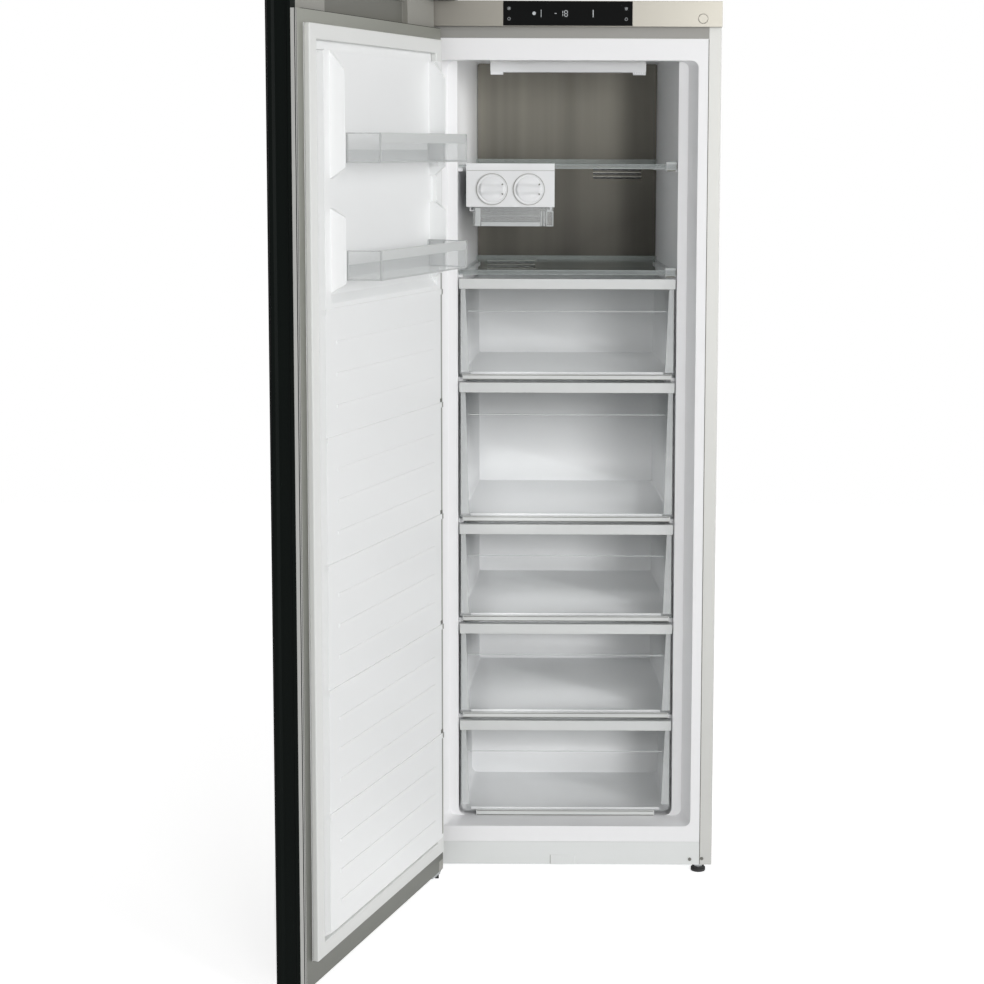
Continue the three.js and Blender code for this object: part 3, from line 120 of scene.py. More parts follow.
def surface(name, colour, roughness, metallic=0.0, drift=0.03, drift_scale=5.0,
            drift_way=(1.0, 1.0, 1.0), grain=(1.0, 1.0, 1.0), grain_scale=700.0, bump=0.03,
            rough_span=0.05, alpha=1.0, sheen=0.5, painted_light_ramp=None):
    """A moulded, lacquered or brushed surface.

    Its colour drifts slowly, and a fine grain shows in its gloss and relief. The ramp argument
    paints light and shade into the colour: a direction, its two ends in cabinet millimetres and
    the colour's share at each.
    """
    material = bpy.data.materials.new(name)
    material.use_nodes = True
    nodes = material.node_tree.nodes
    link = material.node_tree.links.new
    shader = nodes["Principled BSDF"]
    shader.inputs["Metallic"].default_value = metallic
    shader.inputs["Alpha"].default_value = alpha
    shader.inputs["Specular IOR Level"].default_value = sheen

    place = nodes.new("ShaderNodeTexCoord")
    way = nodes.new("ShaderNodeMapping")
    way.inputs["Scale"].default_value = drift_way
    link(place.outputs["Object"], way.inputs["Vector"])
    slow = nodes.new("ShaderNodeTexNoise")
    slow.inputs["Scale"].default_value = drift_scale
    slow.inputs["Detail"].default_value = 3.0
    link(way.outputs["Vector"], slow.inputs["Vector"])
    shade = nodes.new("ShaderNodeMix")
    shade.data_type = "RGBA"
    shade.inputs[6].default_value = [min(1.0, c * (1 - drift)) for c in colour] + [1.0]
    shade.inputs[7].default_value = [min(1.0, c * (1 + drift)) for c in colour] + [1.0]
    link(slow.outputs["Fac"], shade.inputs[0])
    tone = shade.outputs[2]
    if painted_light_ramp:
        tone = painted_ramp(nodes, link, place.outputs["Object"], tone, *painted_light_ramp)
    link(tone, shader.inputs["Base Color"])

    stretch = nodes.new("ShaderNodeMapping")
    stretch.inputs["Scale"].default_value = grain
    link(place.outputs["Object"], stretch.inputs["Vector"])
    fine = nodes.new("ShaderNodeTexNoise")
    fine.inputs["Scale"].default_value = grain_scale
    fine.inputs["Detail"].default_value = 2.0
    link(stretch.outputs["Vector"], fine.inputs["Vector"])
    gloss = nodes.new("ShaderNodeMapRange")
    gloss.inputs["To Min"].default_value = max(0.0, roughness - rough_span)
    gloss.inputs["To Max"].default_value = min(1.0, roughness + rough_span)
    link(fine.outputs["Fac"], gloss.inputs["Value"])
    link(gloss.outputs["Result"], shader.inputs["Roughness"])
    relief = nodes.new("ShaderNodeBump")
    relief.inputs["Strength"].default_value = bump
    relief.inputs["Distance"].default_value = RELIEF_DEPTH
    link(fine.outputs["Fac"], relief.inputs["Height"])
    link(relief.outputs["Normal"], shader.inputs["Normal"])
    return material


def painted_ramp(nodes, link, position, tone, way, start, end, low_share, high_share):
    """Painted light and shade: the tone scaled along a direction, between two places."""
    along = nodes.new("ShaderNodeVectorMath")
    along.operation = "DOT_PRODUCT"
    along.inputs[1].default_value = way
    link(position, along.inputs[0])
    share = nodes.new("ShaderNodeMapRange")
    offset = ORIGIN.dot(Vector(way))
    share.inputs["From Min"].default_value = offset + start * MM
    share.inputs["From Max"].default_value = offset + end * MM
    share.inputs["To Min"].default_value = low_share
    share.inputs["To Max"].default_value = high_share
    link(along.outputs["Value"], share.inputs["Value"])
    scaled = nodes.new("ShaderNodeVectorMath")
    scaled.operation = "SCALE"
    link(tone, scaled.inputs[0])
    link(share.outputs["Result"], scaled.inputs["Scale"])
    return scaled.outputs[0]


# Stretches of the noise, which draw brushing upright or level, and broad upright bands of painted
# reflection.
UPRIGHT = (60.0, 60.0, 1.0)
LEVEL = (1.0, 60.0, 60.0)
PAINTED_REFLECTION_BANDS = (9.0, 9.0, 0.15)

# Painted light and shade ramps: direction, start and end in millimetres, share of the colour at
# the start and end.
# Painted reflection: the fascia's silver darker at its left end, lighter at its right.
PAINTED_REFLECTION_TO_RIGHT = ((1.0, 0.0, 0.0), -290.0, 290.0, 0.6, 1.5)
# Painted light: the brushed panel lighter towards its top left.
PAINTED_LIGHT_TO_TOP_LEFT = ((-0.5, 0.0, 1.0), 1240.0, 1740.0, 0.6, 2.1)
# Painted light: the door's silver band lighter towards its top.
PAINTED_LIGHT_TO_TOP = ((0.0, 0.0, 1.0), 0.0, 1750.0, 0.75, 1.7)

LOOKS = {
    "silver": surface("silver_lacquer", srgb(180, 180, 177), 0.5, 0.75,
                      grain=UPRIGHT, grain_scale=40, bump=0.05),
    # Painted shade: the door's band is the cabinet's silver, darkened, and a ramp paints it
    # lighter towards its top.
    "band": surface("band_silver_painted_shade", srgb(126, 127, 121), 0.45, 0.8,
                    grain=UPRIGHT, grain_scale=40, bump=0.05, painted_light_ramp=PAINTED_LIGHT_TO_TOP),
    # Painted reflection: a ramp darkens the fascia at its left end and lightens it at its right.
    "fascia": surface("fascia_silver", srgb(144, 141, 133), 0.46, 0.8,
                      grain=LEVEL, grain_scale=40, bump=0.05, painted_light_ramp=PAINTED_REFLECTION_TO_RIGHT),
    "crossbar": surface("crossbar_silver", srgb(134, 133, 129), 0.46, 0.4,
                        grain=LEVEL, grain_scale=30),
    "zinc": surface("zinc_sheet", srgb(176, 179, 180), 0.45, 0.75,
                    drift=0.05, drift_scale=30, grain_scale=120),
    # Painted reflection and light: the brushed panel's broad upright lighter and darker bands, and
    # a ramp lighter towards its top left.
    "steel": surface("brushed_steel", srgb(82, 80, 74), 0.36, 0.8,
                     drift=0.5, drift_scale=1.8, drift_way=PAINTED_REFLECTION_BANDS,
                     grain=UPRIGHT, grain_scale=22, rough_span=0.06, painted_light_ramp=PAINTED_LIGHT_TO_TOP_LEFT),
    # Painted highlight: the slot lips are the panel's own steel, given a lighter copy.
    "steel_painted_highlight": surface("steel_painted_highlight", srgb(176, 174, 166), 0.3, 0.7,
                          drift=0.05, grain_scale=300),
    "white": surface("liner_white", srgb(242, 242, 243), 0.34, drift=0.01, grain_scale=260),
    "door_white": surface("door_liner_white", srgb(240, 241, 241), 0.36,
                          drift=0.01, grain_scale=260),
    "trim": surface("white_trim", srgb(230, 231, 232), 0.38, drift=0.012, grain_scale=500),
    "plinth": surface("plinth_white", srgb(226, 228, 227), 0.42,
                      drift=0.012, grain_scale=600, bump=0.05),
    "grey": surface("cap_grey", srgb(150, 149, 143), 0.45, 0.2, grain_scale=500),
    "dark_grey": surface("cap_dark", srgb(110, 110, 104), 0.5, 0.2, grain_scale=500),
    "gasket": surface("gasket_rubber", srgb(224, 225, 223), 0.62,
                      drift=0.02, grain=UPRIGHT, grain_scale=25, bump=0.08),
    "black": surface("black_gloss", srgb(10, 12, 12), 0.2,
                     drift=0.15, grain_scale=800, bump=0.01, sheen=0.12),
    "black_edge": surface("black_edge", srgb(13, 18, 16), 0.42,
                          drift=0.1, grain=UPRIGHT, grain_scale=20, sheen=0.05),
    "black_paint": surface("black_enamel", srgb(26, 27, 28), 0.42, 0.1,
                           drift=0.2, grain_scale=220, bump=0.15),
    "display": surface("display_glass", srgb(10, 11, 11), 0.14,
                       drift=0.05, bump=0.005, sheen=0.08),
    "mark": surface("display_mark", srgb(190, 194, 196), 0.5, drift=0.02),
    "glass": surface("shelf_glass", srgb(204, 216, 213), 0.05,
                     drift=0.01, alpha=0.2, bump=0.0, rough_span=0.01),
    "glass_edge": surface("glass_edge", srgb(178, 185, 184), 0.18,
                          drift=0.05, alpha=0.42, bump=0.02),
    "clear_wall": surface("clear_wall", srgb(226, 229, 229), 0.12,
                          drift=0.02, alpha=0.22, bump=0.01),
    "clear": surface("clear_plastic", srgb(232, 235, 235), 0.1,
                     drift=0.02, alpha=0.06, bump=0.01, rough_span=0.02),
    "edge": surface("clear_plastic_edge", srgb(222, 225, 225), 0.2, alpha=0.6, bump=0.02),
    "line": surface("clear_plastic_rim", srgb(206, 208, 208), 0.3,
                    drift=0.05, alpha=0.7, bump=0.02),
    "tub": surface("drawer_plastic", srgb(242, 243, 244), 0.3,
                   drift=0.012, alpha=0.94, bump=0.02),
    "frosted": surface("frosted_plastic", srgb(218, 220, 219), 0.45,
                       drift=0.02, alpha=0.93, grain_scale=900, bump=0.06),
    "lamp": surface("lamp_cover", srgb(230, 231, 232), 0.3, drift=0.01, alpha=0.8),
    "foam": surface("rigid_foam", srgb(224, 210, 160), 0.9,
                    drift=0.1, drift_scale=60, grain_scale=300, bump=0.4),
    "rubber": surface("black_rubber", srgb(42, 42, 42), 0.7,
                      drift=0.15, grain_scale=300, bump=0.2),
    "aluminium": surface("aluminium_fins", srgb(196, 198, 200), 0.35, 0.9,
                         drift=0.05, grain_scale=200),
    "copper": surface("copper_tube", srgb(184, 115, 74), 0.28, 0.95,
                      drift=0.12, drift_scale=25, grain_scale=150),
}

# ----------------------------------------------------------------------------- mesh tools

SMOOTH_BELOW = 35.0  # degrees between two faces that shade as one
BEVEL_ABOVE = 28.0  # degrees at an edge that gets rounded
JOIN_WITHIN = 0.002  # millimetres between points that are one
FLAT_WITHIN = 1.0  # degrees between faces that are one


def finish_piece(name, bm, looks, body, slot, bevel=0.0, segments=2, smooth=SMOOTH_BELOW):
    """Turns a bmesh in cabinet millimetres into a piece that rides on a body.

    Large faces keep their own normals beside rounded edges, so that flat walls shade flat.
    """
    bmesh.ops.recalc_face_normals(bm, faces=bm.faces)
    mesh = bpy.data.meshes.new(name)
    bm.to_mesh(mesh)
    bm.free()
    mesh.transform(placing(body))
    piece = bpy.data.objects.new(name, mesh)
    bpy.context.scene.collection.objects.link(piece)
    for look in looks:
        mesh.materials.append(LOOKS[look])
    mesh.polygons.foreach_set("use_smooth", [True] * len(mesh.polygons))
    mesh.set_sharp_from_angle(angle=math.radians(smooth))
    if bevel:
        edges = piece.modifiers.new("edges", "BEVEL")
        edges.width = bevel * MM
        edges.segments = segments
        edges.limit_method = "ANGLE"
        edges.angle_limit = math.radians(BEVEL_ABOVE)
        flats = piece.modifiers.new("flats", "WEIGHTED_NORMAL")
        flats.mode = "FACE_AREA"
        flats.weight = 100
        flats.keep_sharp = True
    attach(piece, body)
    return piece


def cad_mesh(node):
    """The node's CAD mesh in cabinet millimetres, its flat faces whole."""
    bm = bmesh.new()
    bm.from_mesh(frame["nodes"][node].data)
    bm.transform(placing(body_of[node]).inverted())
    bmesh.ops.remove_doubles(bm, verts=bm.verts, dist=JOIN_WITHIN)
    bmesh.ops.dissolve_limit(bm, angle_limit=math.radians(FLAT_WITHIN),
                             verts=bm.verts, edges=bm.edges)
    return bm


def refine(node, look, bevel=0.6, segments=2, pick=None, extra=(), smooth=SMOOTH_BELOW):
    """The node's own solid with rounded edges.

    pick gives the number of a face's look from its middle and its normal.
    """
    bm = cad_mesh(node)
    if pick:
        for face in bm.faces:
            face.material_index = pick(face.calc_center_median(), face.normal)
    piece = finish_piece(node + "_fine", bm, [look, *extra], body_of[node], slot_of[node],
                         bevel, segments, smooth)
    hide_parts(node)


def add_slab(bm, low, high):
    """Adds a box between two corners."""
    middle = [(a + b) / 2 for a, b in zip(low, high)]
    size = [b - a for a, b in zip(low, high)]
    matrix = Matrix.Translation(middle) @ Matrix.Diagonal((*size, 1.0))
    bmesh.ops.create_cube(bm, size=1.0, matrix=matrix)


def slabs(name, boxes, look, body, slot, bevel=0.4):
    """Several rounded bars or plates as one piece."""
    bm = bmesh.new()
    for low, high in boxes:
        add_slab(bm, low, high)
    finish_piece(name, bm, [look], body, slot, bevel)


def own_slabs(node, ending, boxes, look, bevel=0.4):
    """Bars or plates that ride with a node."""
    slabs(node + ending, boxes, look, body_of[node], slot_of[node], bevel)


def add_wedge(bm, corners, y0, y1):
    """Adds a flat polygon of x and z pairs, pushed from y0 to y1."""
    near = [bm.verts.new((x, y0, z)) for x, z in corners]
    far = [bm.verts.new((x, y1, z)) for x, z in corners]
    bm.faces.new(near)
    bm.faces.new(far[::-1])
    for i in range(len(corners)):
        j = (i + 1) % len(corners)
        bm.faces.new((near[i], far[i], far[j], near[j]))


def add_disc(bm, centre, radius, y0, y1, sides):
    """Adds a round plate that faces the front."""
    place = Matrix.Translation((centre[0], (y0 + y1) / 2, centre[1]))
    bmesh.ops.create_cone(bm, cap_ends=True, segments=sides, radius1=radius, radius2=radius,
                          depth=y1 - y0, matrix=place @ Matrix.Rotation(math.pi / 2, 4, "X"))


def add_ring(bm, centre, inner, outer, y0, y1, sides=64):
    """Adds a flat ring that faces the front."""
    turns = [2 * math.pi * k / sides for k in range(sides)]
    x, z = centre
    loops = []
    for radius, y in ((inner, y0), (outer, y0), (outer, y1), (inner, y1)):
        loops.append([bm.verts.new((x + radius * math.cos(t), y, z + radius * math.sin(t)))
                      for t in turns])
    for a, b in zip(loops, loops[1:] + loops[:1]):
        for k in range(sides):
            j = (k + 1) % sides
            bm.faces.new((a[k], a[j], b[j], b[k]))


def add_strip(bm, start, end, z0, z1, thick):
    """Adds an upright strip between two points of the plan."""
    along = Vector((end[0] - start[0], end[1] - start[1]))
    side = Vector((-along.y, along.x)).normalized() * thick / 2
    plan = [(start[0] + side.x, start[1] + side.y), (end[0] + side.x, end[1] + side.y),
            (end[0] - side.x, end[1] - side.y), (start[0] - side.x, start[1] - side.y)]
    low = [bm.verts.new((x, y, z0)) for x, y in plan]
    high = [bm.verts.new((x, y, z1)) for x, y in plan]
    bm.faces.new(low)
    bm.faces.new(high[::-1])
    for i in range(4):
        j = (i + 1) % 4
        bm.faces.new((low[i], high[i], high[j], low[j]))


# ----------------------------------------------------------------------------- the cabinet

BOLT_FROM = 9.5  # height at which a levelling foot turns from rubber into its zinc bolt


def cabinet():
    """The casing's own solids with rounded edges."""
    for side in ("left", "right"):
        refine(f"side_panel_{side}", "silver", bevel=0.8)
    refine("top_panel", "silver", bevel=0.4)
    refine("rear_panel", "zinc", bevel=0.3)
    refine("base_tray", "zinc", bevel=0.4)
    refine("machine_bay_plate", "zinc", bevel=0.4)
    refine("front_crossbar", "crossbar", bevel=0.4)
    refine("control_panel", "fascia", bevel=1.0, segments=3)
    refine("display_glass", "display", bevel=0.3)
    refine("screw_plug", "fascia", bevel=0.6, segments=3)
    refine("plinth_panel", "plinth", bevel=0.8)
    refine("top_hinge_bracket", "zinc", bevel=0.4)
    refine("top_hinge_cover", "black", bevel=1.5, segments=3)
    refine("bottom_hinge_bracket", "zinc", bevel=0.4)
    refine("inner_liner", "white", bevel=2.0, segments=3)
    for side in ("left", "right"):
        refine(f"front_foot_{side}", "rubber", bevel=0.5, extra=("zinc",),
               pick=lambda middle, normal: 1 if middle.z > BOLT_FROM else 0)
        refine(f"rear_roller_{side}", "rubber", bevel=0.6)


MARK_OUT, MARK_IN = 0.06, 0.1  # a mark stands out of the glass and reaches into it
MINUS_X, ONE_X, EIGHT_X = -25.0, -14.0, -5.0
DOT_X, DOT_RADIUS = -66.5, 3.4
BARS = ((-53.0, 1.0), (47.5, 1.6))  # x and width
BAR_TALL = 14.0
SIGNS_LEFT, SIGNS_RIGHT = 11.0, 11.5  # from the glass's ends
FLAKE_UP, DIAL_DOWN = 9.5, 10.5


def display_marks():
    """Plain marks on the display: two digits, dots, bars and small signs, with no words."""
    low, high = span("display_glass")
    front, back = low.y - MARK_OUT, low.y + MARK_IN
    middle = (low.z + high.z) / 2
    bm = bmesh.new()

    def bar(x, z, wide, tall):
        add_slab(bm, (x - wide / 2, front, z - tall / 2), (x + wide / 2, back, z + tall / 2))

    def digit(x, lit, wide=5.6, tall=11.0, thick=1.2):
        rails = {"top": tall / 2, "mid": 0.0, "low": -tall / 2}
        posts = {"ul": (-1, 1), "ur": (1, 1), "ll": (-1, -1), "lr": (1, -1)}
        for name in lit:
            if name in rails:
                bar(x, middle + rails[name], wide - thick, thick)
            else:
                side, up = posts[name]
                bar(x + side * wide / 2, middle + up * tall / 4, thick, tall / 2 - thick)

    def dial(x, z, radius=2.6, dot=1.1, dots=8):
        for i in range(dots):
            turn = i * 2 * math.pi / dots
            bar(x + radius * math.cos(turn), z + radius * math.sin(turn), dot, dot)

    def flake(x, z, arm=6.0, thick=0.9, reach=2.0, tip=1.0):
        bar(x, z, arm, thick)
        bar(x, z, thick, arm)
        for side in (-1, 1):
            bar(x + reach * side, z + reach, tip, tip)
            bar(x + reach * side, z - reach, tip, tip)

    bar(MINUS_X, middle, 4.0, 1.2)
    digit(ONE_X, ("ur", "lr"))
    digit(EIGHT_X, ("top", "ul", "ur", "mid", "ll", "lr", "low"))
    for x, wide in BARS:
        bar(x, middle, wide, BAR_TALL)
    add_disc(bm, (DOT_X, middle), DOT_RADIUS, front, back, sides=20)
    for x in (low.x + SIGNS_LEFT, high.x - SIGNS_RIGHT):
        flake(x, middle + FLAKE_UP)
        dial(x, middle - DIAL_DOWN)
    finish_piece("display_marks", bm, ["mark"], "cabinet", "black")


TRIM_BACK = 0.3  # how far trim reaches into the front frame
SCREW_SPOTS = ((-20.0, 11.6), (4.5, 13.0))  # from the plinth's right end and from its foot
HEAD_RADIUS, HEAD_FRONT = 3.4, -1.3
STUD_RADIUS, STUD_FRONT, STUD_BACK = 1.5, -1.7, -1.0  # the hexagon in a screw's head
FLANGE_TOP = 1678.0
SEAM_HALF, SEAM_FRONT = 0.8, -0.25
SLIT_LEFT, SLIT_RIGHT, SLIT_FRONT, SLIT_TALL = -30.7, -29.7, -0.4, 20.0


def flange_and_plinth():
    """Two screws low on the right, dark lines of painted shade at the seams beside the silver
    flanges, and a grey bar of painted shade in the plinth's slit.
    """
    low, high = span("plinth_panel")
    edge, foot = high.x, low.z + 1
    screws = bmesh.new()
    for right, up in SCREW_SPOTS:
        spot = (edge + right, low.z + up)
        add_disc(screws, spot, HEAD_RADIUS, HEAD_FRONT, TRIM_BACK, sides=20)
        add_disc(screws, spot, STUD_RADIUS, STUD_FRONT, STUD_BACK, sides=6)
    finish_piece("front_screws", screws, ["dark_grey"], "cabinet", "zinc", bevel=0.3)
    # Painted shade: a dark line in the seam beside each silver flange.
    seams = [((x - SEAM_HALF, SEAM_FRONT, foot), (x + SEAM_HALF, TRIM_BACK, FLANGE_TOP))
             for x in (-edge, edge)]
    slabs("flange_seam_shade", seams, "dark_grey", "cabinet", "grey_trim", bevel=0.1)
    # Painted shade: a grey bar in the plinth's slit.
    slit = [((SLIT_LEFT, SLIT_FRONT, foot), (SLIT_RIGHT, TRIM_BACK, low.z + SLIT_TALL))]
    slabs("plinth_slit_shade", slit, "grey", "cabinet", "grey_trim", bevel=0.1)


SLOT_CORNERS = ((57.0, 1422.0), (-176.0, 1218.0))  # left end and top row of each group
SLOT_ROWS, SLOT_PITCH, SLOT_LENGTH = 3, 9.0, 107.0
SLOT_LIP_OUT, SLOT_LIP_IN = 1.4, 0.3
SLOT_LIP_DOWN, SLOT_LIP_UP = 0.2, 1.1


def air_panel():
    """Brushed panel with a lip over each air slot, lighter as a painted highlight."""
    refine("rear_air_panel", "steel", bevel=0.2)
    low = span("rear_air_panel")[0]
    lips = []
    for left, top in SLOT_CORNERS:
        for row in range(SLOT_ROWS):
            z = top - row * SLOT_PITCH
            lips.append(((left, low.y - SLOT_LIP_OUT, z - SLOT_LIP_DOWN),
                         (left + SLOT_LENGTH, low.y + SLOT_LIP_IN, z + SLOT_LIP_UP)))
    slabs("slot_lips", lips, "steel_painted_highlight", "cabinet", "steel", bevel=0.3)


LAMP_RIBS, LAMP_RIB_PITCH, LAMP_RIB_WIDE = 5, 4.6, 1.3
LAMP_RIBS_FROM = 26.0  # from the lamp's right end
LAMP_RIB_FOOT, LAMP_RIB_TOP = 2.0, 18.0  # over the lamp's underside
LAMP_LINE_FOOT, LAMP_LINE_TOP = 4.0, 2.5  # under the lamp's top
LAMP_TRIM_BACK = 4.0


def lamp():
    """Translucent bar under the ceiling, ribbed at its right end."""
    refine("light_cover", "lamp", bevel=1.2, segments=3)
    low, high = span("light_cover")
    ribs = []
    for i in range(LAMP_RIBS):
        x = high.x - LAMP_RIBS_FROM + i * LAMP_RIB_PITCH
        ribs.append(((x, low.y + 0.6, low.z + LAMP_RIB_FOOT),
                     (x + LAMP_RIB_WIDE, low.y + LAMP_TRIM_BACK, low.z + LAMP_RIB_TOP)))
    ribs.append(((low.x + 2, low.y + 0.2, high.z - LAMP_LINE_FOOT),
                 (high.x - 2, low.y + LAMP_TRIM_BACK, high.z - LAMP_LINE_TOP)))
    slabs("lamp_ribs", ribs, "trim", "cabinet", "clear", bevel=0.3)


# ---------------------------------------------------------------- shelves, drawers and ice

# Insets are from a drawer's sides, fronts and backs from its front where nothing else is said.
WALL = 2.5
RAIL_TALL, RAIL_DEEP = 20.0, 14.0
PANE_IN = 4.0
POST_TOP, POST_FOOT = 12.0, 19.0  # insets of a post's inner edge
POST_FRONT, POST_BACK = 1.0, 6.0  # from the pane
LINE_FOOT, LINE_TOP = 65.5, 64.0  # under the drawer's top, of the line across the pane
LINE_INSET, LINE_FRONT, LINE_BACK = 18.0, 3.2, 5.0
CORNER_STEPS = 4
FLOOR_RADIUS, LOWEST_RADIUS = 6.0, 14.0
FLOOR_GAP, LOWEST_FLOOR = 0.3, 8.0  # over the glass plate, over the lowest drawer's foot
LIP_INSET, LOWEST_INSET = 6.0, 33.0
LIP_FRONT, LIP_BACK = 2.0, 8.0
LIP_LINE_FRONT, LIP_LINE_BACK = 1.2, 3.0
SILL_INSET, SILL_TALL = 22.0, 4.5
SILL_FRONT, SILL_BACK = 4.0, 10.0  # from the pane
STEP = 0.2  # keeps the faces of neighbouring trim apart
RUNNER_WIDE, RUNNER_TALL = 4.0, 9.0
RUNNER_FRONT, RUNNER_BACK = 7.0, 14.0  # from the drawer's front and from its back


def tub_profile(half, bottom, top, radius):
    """Half-open outline of a drawer: down the left, round both lower corners, up the right."""
    points = [(-half, top)]
    for step in range(CORNER_STEPS + 1):
        turn = step * math.pi / 2 / CORNER_STEPS
        points.append((-half + radius * (1 - math.cos(turn)),
                       bottom + radius * (1 - math.sin(turn))))
    points += [(-x, z) for x, z in points[::-1]]
    return points


def drawer(node, floor, radius, lip_half):
    """Clear pane, pale tub, frosted rail, posts, lip and sill, all from the CAD drawer's box."""
    drawer_tub(node, floor, radius)
    drawer_rail(node, floor + radius)
    drawer_lip(node, floor, lip_half)


def drawer_tub(node, floor, radius):
    """One thin-walled shell that narrows to the back, its front wall clear."""
    low, high = span(node)
    back_half = max(p.x for p in mesh_points(node) if p.y > high.y - 1)
    bm = bmesh.new()
    rings = []
    for y, half in ((low.y + PANE_IN, high.x - 0.2), (high.y, back_half)):
        profile = tub_profile(half, floor, high.z - RAIL_TALL, radius)
        rings.append([bm.verts.new((x, y, z)) for x, z in profile])
    for i in range(len(rings[0]) - 1):
        face = bm.faces.new((rings[0][i], rings[0][i + 1], rings[1][i + 1], rings[1][i]))
        face.material_index = 1
    bm.faces.new(rings[0]).material_index = 0
    bm.faces.new(rings[1][::-1]).material_index = 1
    shell = finish_piece(node + "_tub", bm, ["clear", "tub"], body_of[node], slot_of[node])
    walls = shell.modifiers.new("walls", "SOLIDIFY")
    walls.thickness = WALL * MM
    walls.offset = -1.0
    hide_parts(node)


def drawer_rail(node, post_foot):
    """Frosted rail over the pane, a line across the pane and a leaning post at each side."""
    low, high = span(node)
    half, rail_low, pane = high.x, high.z - RAIL_TALL, low.y + PANE_IN
    line_end = half - LINE_INSET
    bm = bmesh.new()
    add_slab(bm, (-half, low.y, rail_low), (half, low.y + RAIL_DEEP, high.z))
    add_slab(bm, (-line_end, low.y + LINE_FRONT, high.z - LINE_FOOT),
             (line_end, low.y + LINE_BACK, high.z - LINE_TOP))
    for side in (-1, 1):
        outer = side * (half - WALL)
        corners = [(outer, rail_low), (side * (half - POST_TOP), rail_low),
                   (side * (half - POST_FOOT), post_foot), (outer, post_foot)]
        add_wedge(bm, corners, pane + POST_FRONT, pane + POST_BACK)
    for face in bm.faces:
        face.material_index = 1 if face.calc_center_median().z < rail_low - 1 else 0
    finish_piece(node + "_rail", bm, ["frosted", "edge"], body_of[node], slot_of[node],
                 bevel=1.0, segments=3)


def drawer_lip(node, floor, lip_half):
    """Lip under the pane with two dark lines of painted shade, and the white sill behind the pane.
    """
    low, high = span(node)
    pane, top = low.y + PANE_IN, floor + WALL
    lip = [((-lip_half, low.y + LIP_FRONT, low.z), (lip_half, low.y + LIP_BACK, top))]
    own_slabs(node, "_lip", lip, "frosted", bevel=0.6)
    # Painted shade: dark lines on the lip, at the floor's height and at the drawer's foot.
    shade_lines = []
    for end, foot, tall in ((lip_half - 2, floor, 1.4), (lip_half - 1, low.z, 1.2)):
        shade_lines.append(((-end, low.y + LIP_LINE_FRONT, foot + STEP),
                      (end, low.y + LIP_LINE_BACK, foot + tall)))
    own_slabs(node, "_lip_shade_lines", shade_lines, "dark_grey", bevel=0.3)
    end = high.x - SILL_INSET
    sill = [((-end, pane + SILL_FRONT, top - STEP), (end, pane + SILL_BACK, top + SILL_TALL))]
    own_slabs(node, "_sill", sill, "trim", bevel=0.6)


def runners(node):
    """Two rails under the floor of the lowest drawer."""
    low, high = span(node)
    inner = high.x - LOWEST_INSET
    boxes = [((x, low.y + RUNNER_FRONT, low.z),
              (x + RUNNER_WIDE, high.y - RUNNER_BACK, low.z + RUNNER_TALL))
             for x in (-inner, inner - RUNNER_WIDE)]
    own_slabs(node, "_runners", boxes, "edge", bevel=0.5)


def glass_faces(middle, normal):
    """The front edge of a glass plate is denser than its faces."""
    return 1 if normal.y < -0.5 else 0


def drawers():
    """Five drawers and the four glass plates between them."""
    for i in range(1, 6):
        node = f"drawer_{i}"
        low, high = span(node)
        if i < 5:
            floor = span(f"drawer_plate_{i}")[1].z + FLOOR_GAP
            drawer(node, floor, FLOOR_RADIUS, high.x - LIP_INSET)
        else:
            drawer(node, low.z + LOWEST_FLOOR, LOWEST_RADIUS, high.x - LOWEST_INSET)
            runners(node)
    for i in range(1, 5):
        refine(f"drawer_plate_{i}", "glass", bevel=0.4, pick=glass_faces, extra=("glass_edge",))


SHELF_EDGE = 6.5  # depth of the dense front edge
CLIP_RIGHT, CLIP_WIDE, CLIP_BACK, CLIP_UNDER = 1.0, 21.0, 12.0, 4.0
CLIP_DOWN = 1.8  # under the shelf's top, clear of the upper balcony when the door is shut
PAD_RIGHT, PAD_WIDE, PAD_BACK, PAD_UNDER = 3.0, 17.0, 6.0, 4.4


def shelves():
    """Two glass shelves, each with a clip and a pad at its right front corner."""
    for name in ("upper", "lower"):
        node = f"shelf_{name}"
        low, high = span(node)

        def pick(middle, normal, edge=low.y + SHELF_EDGE):
            return 1 if middle.y < edge else 0

        refine(node, "glass", bevel=0.5, pick=pick, extra=("glass_edge",))
        right = high.x - CLIP_RIGHT
        clip = [((right - CLIP_WIDE, low.y + 0.3, low.z - CLIP_UNDER),
                 (right, low.y + CLIP_BACK, high.z - CLIP_DOWN))]
        slabs(node + "_clip", clip, "edge", body_of[node], "clear", bevel=1.2)
        right = high.x - PAD_RIGHT
        pads = [((right - PAD_WIDE, low.y + 0.1, low.z - PAD_UNDER),
                 (right, low.y + PAD_BACK, low.z - 1))]
        slabs(node + "_pad", pads, "dark_grey", body_of[node], "black", bevel=0.5)


BOX_FLOOR = 2.2  # thickness of the ice box's dense floor
BOX_LEFT, BOX_RIGHT = 20.0, 26.0  # insets of the level rib and the line over it
BOX_POSTS = ((25.0, 2.0), (19.0, 1.4), (14.0, 1.6), (1.8, 1.8))  # from the right end, width
GRIP_WIDE = 14.0  # of the box's grip, between the last two posts
GRIP_BARS = (0.0, 28.5)
BOX_LINE_FOOT, BOX_LINE_TOP = 20.0, 21.0
SEAM_FOOT, SEAM_TOP = 14.5, 13.7  # under the housing's top


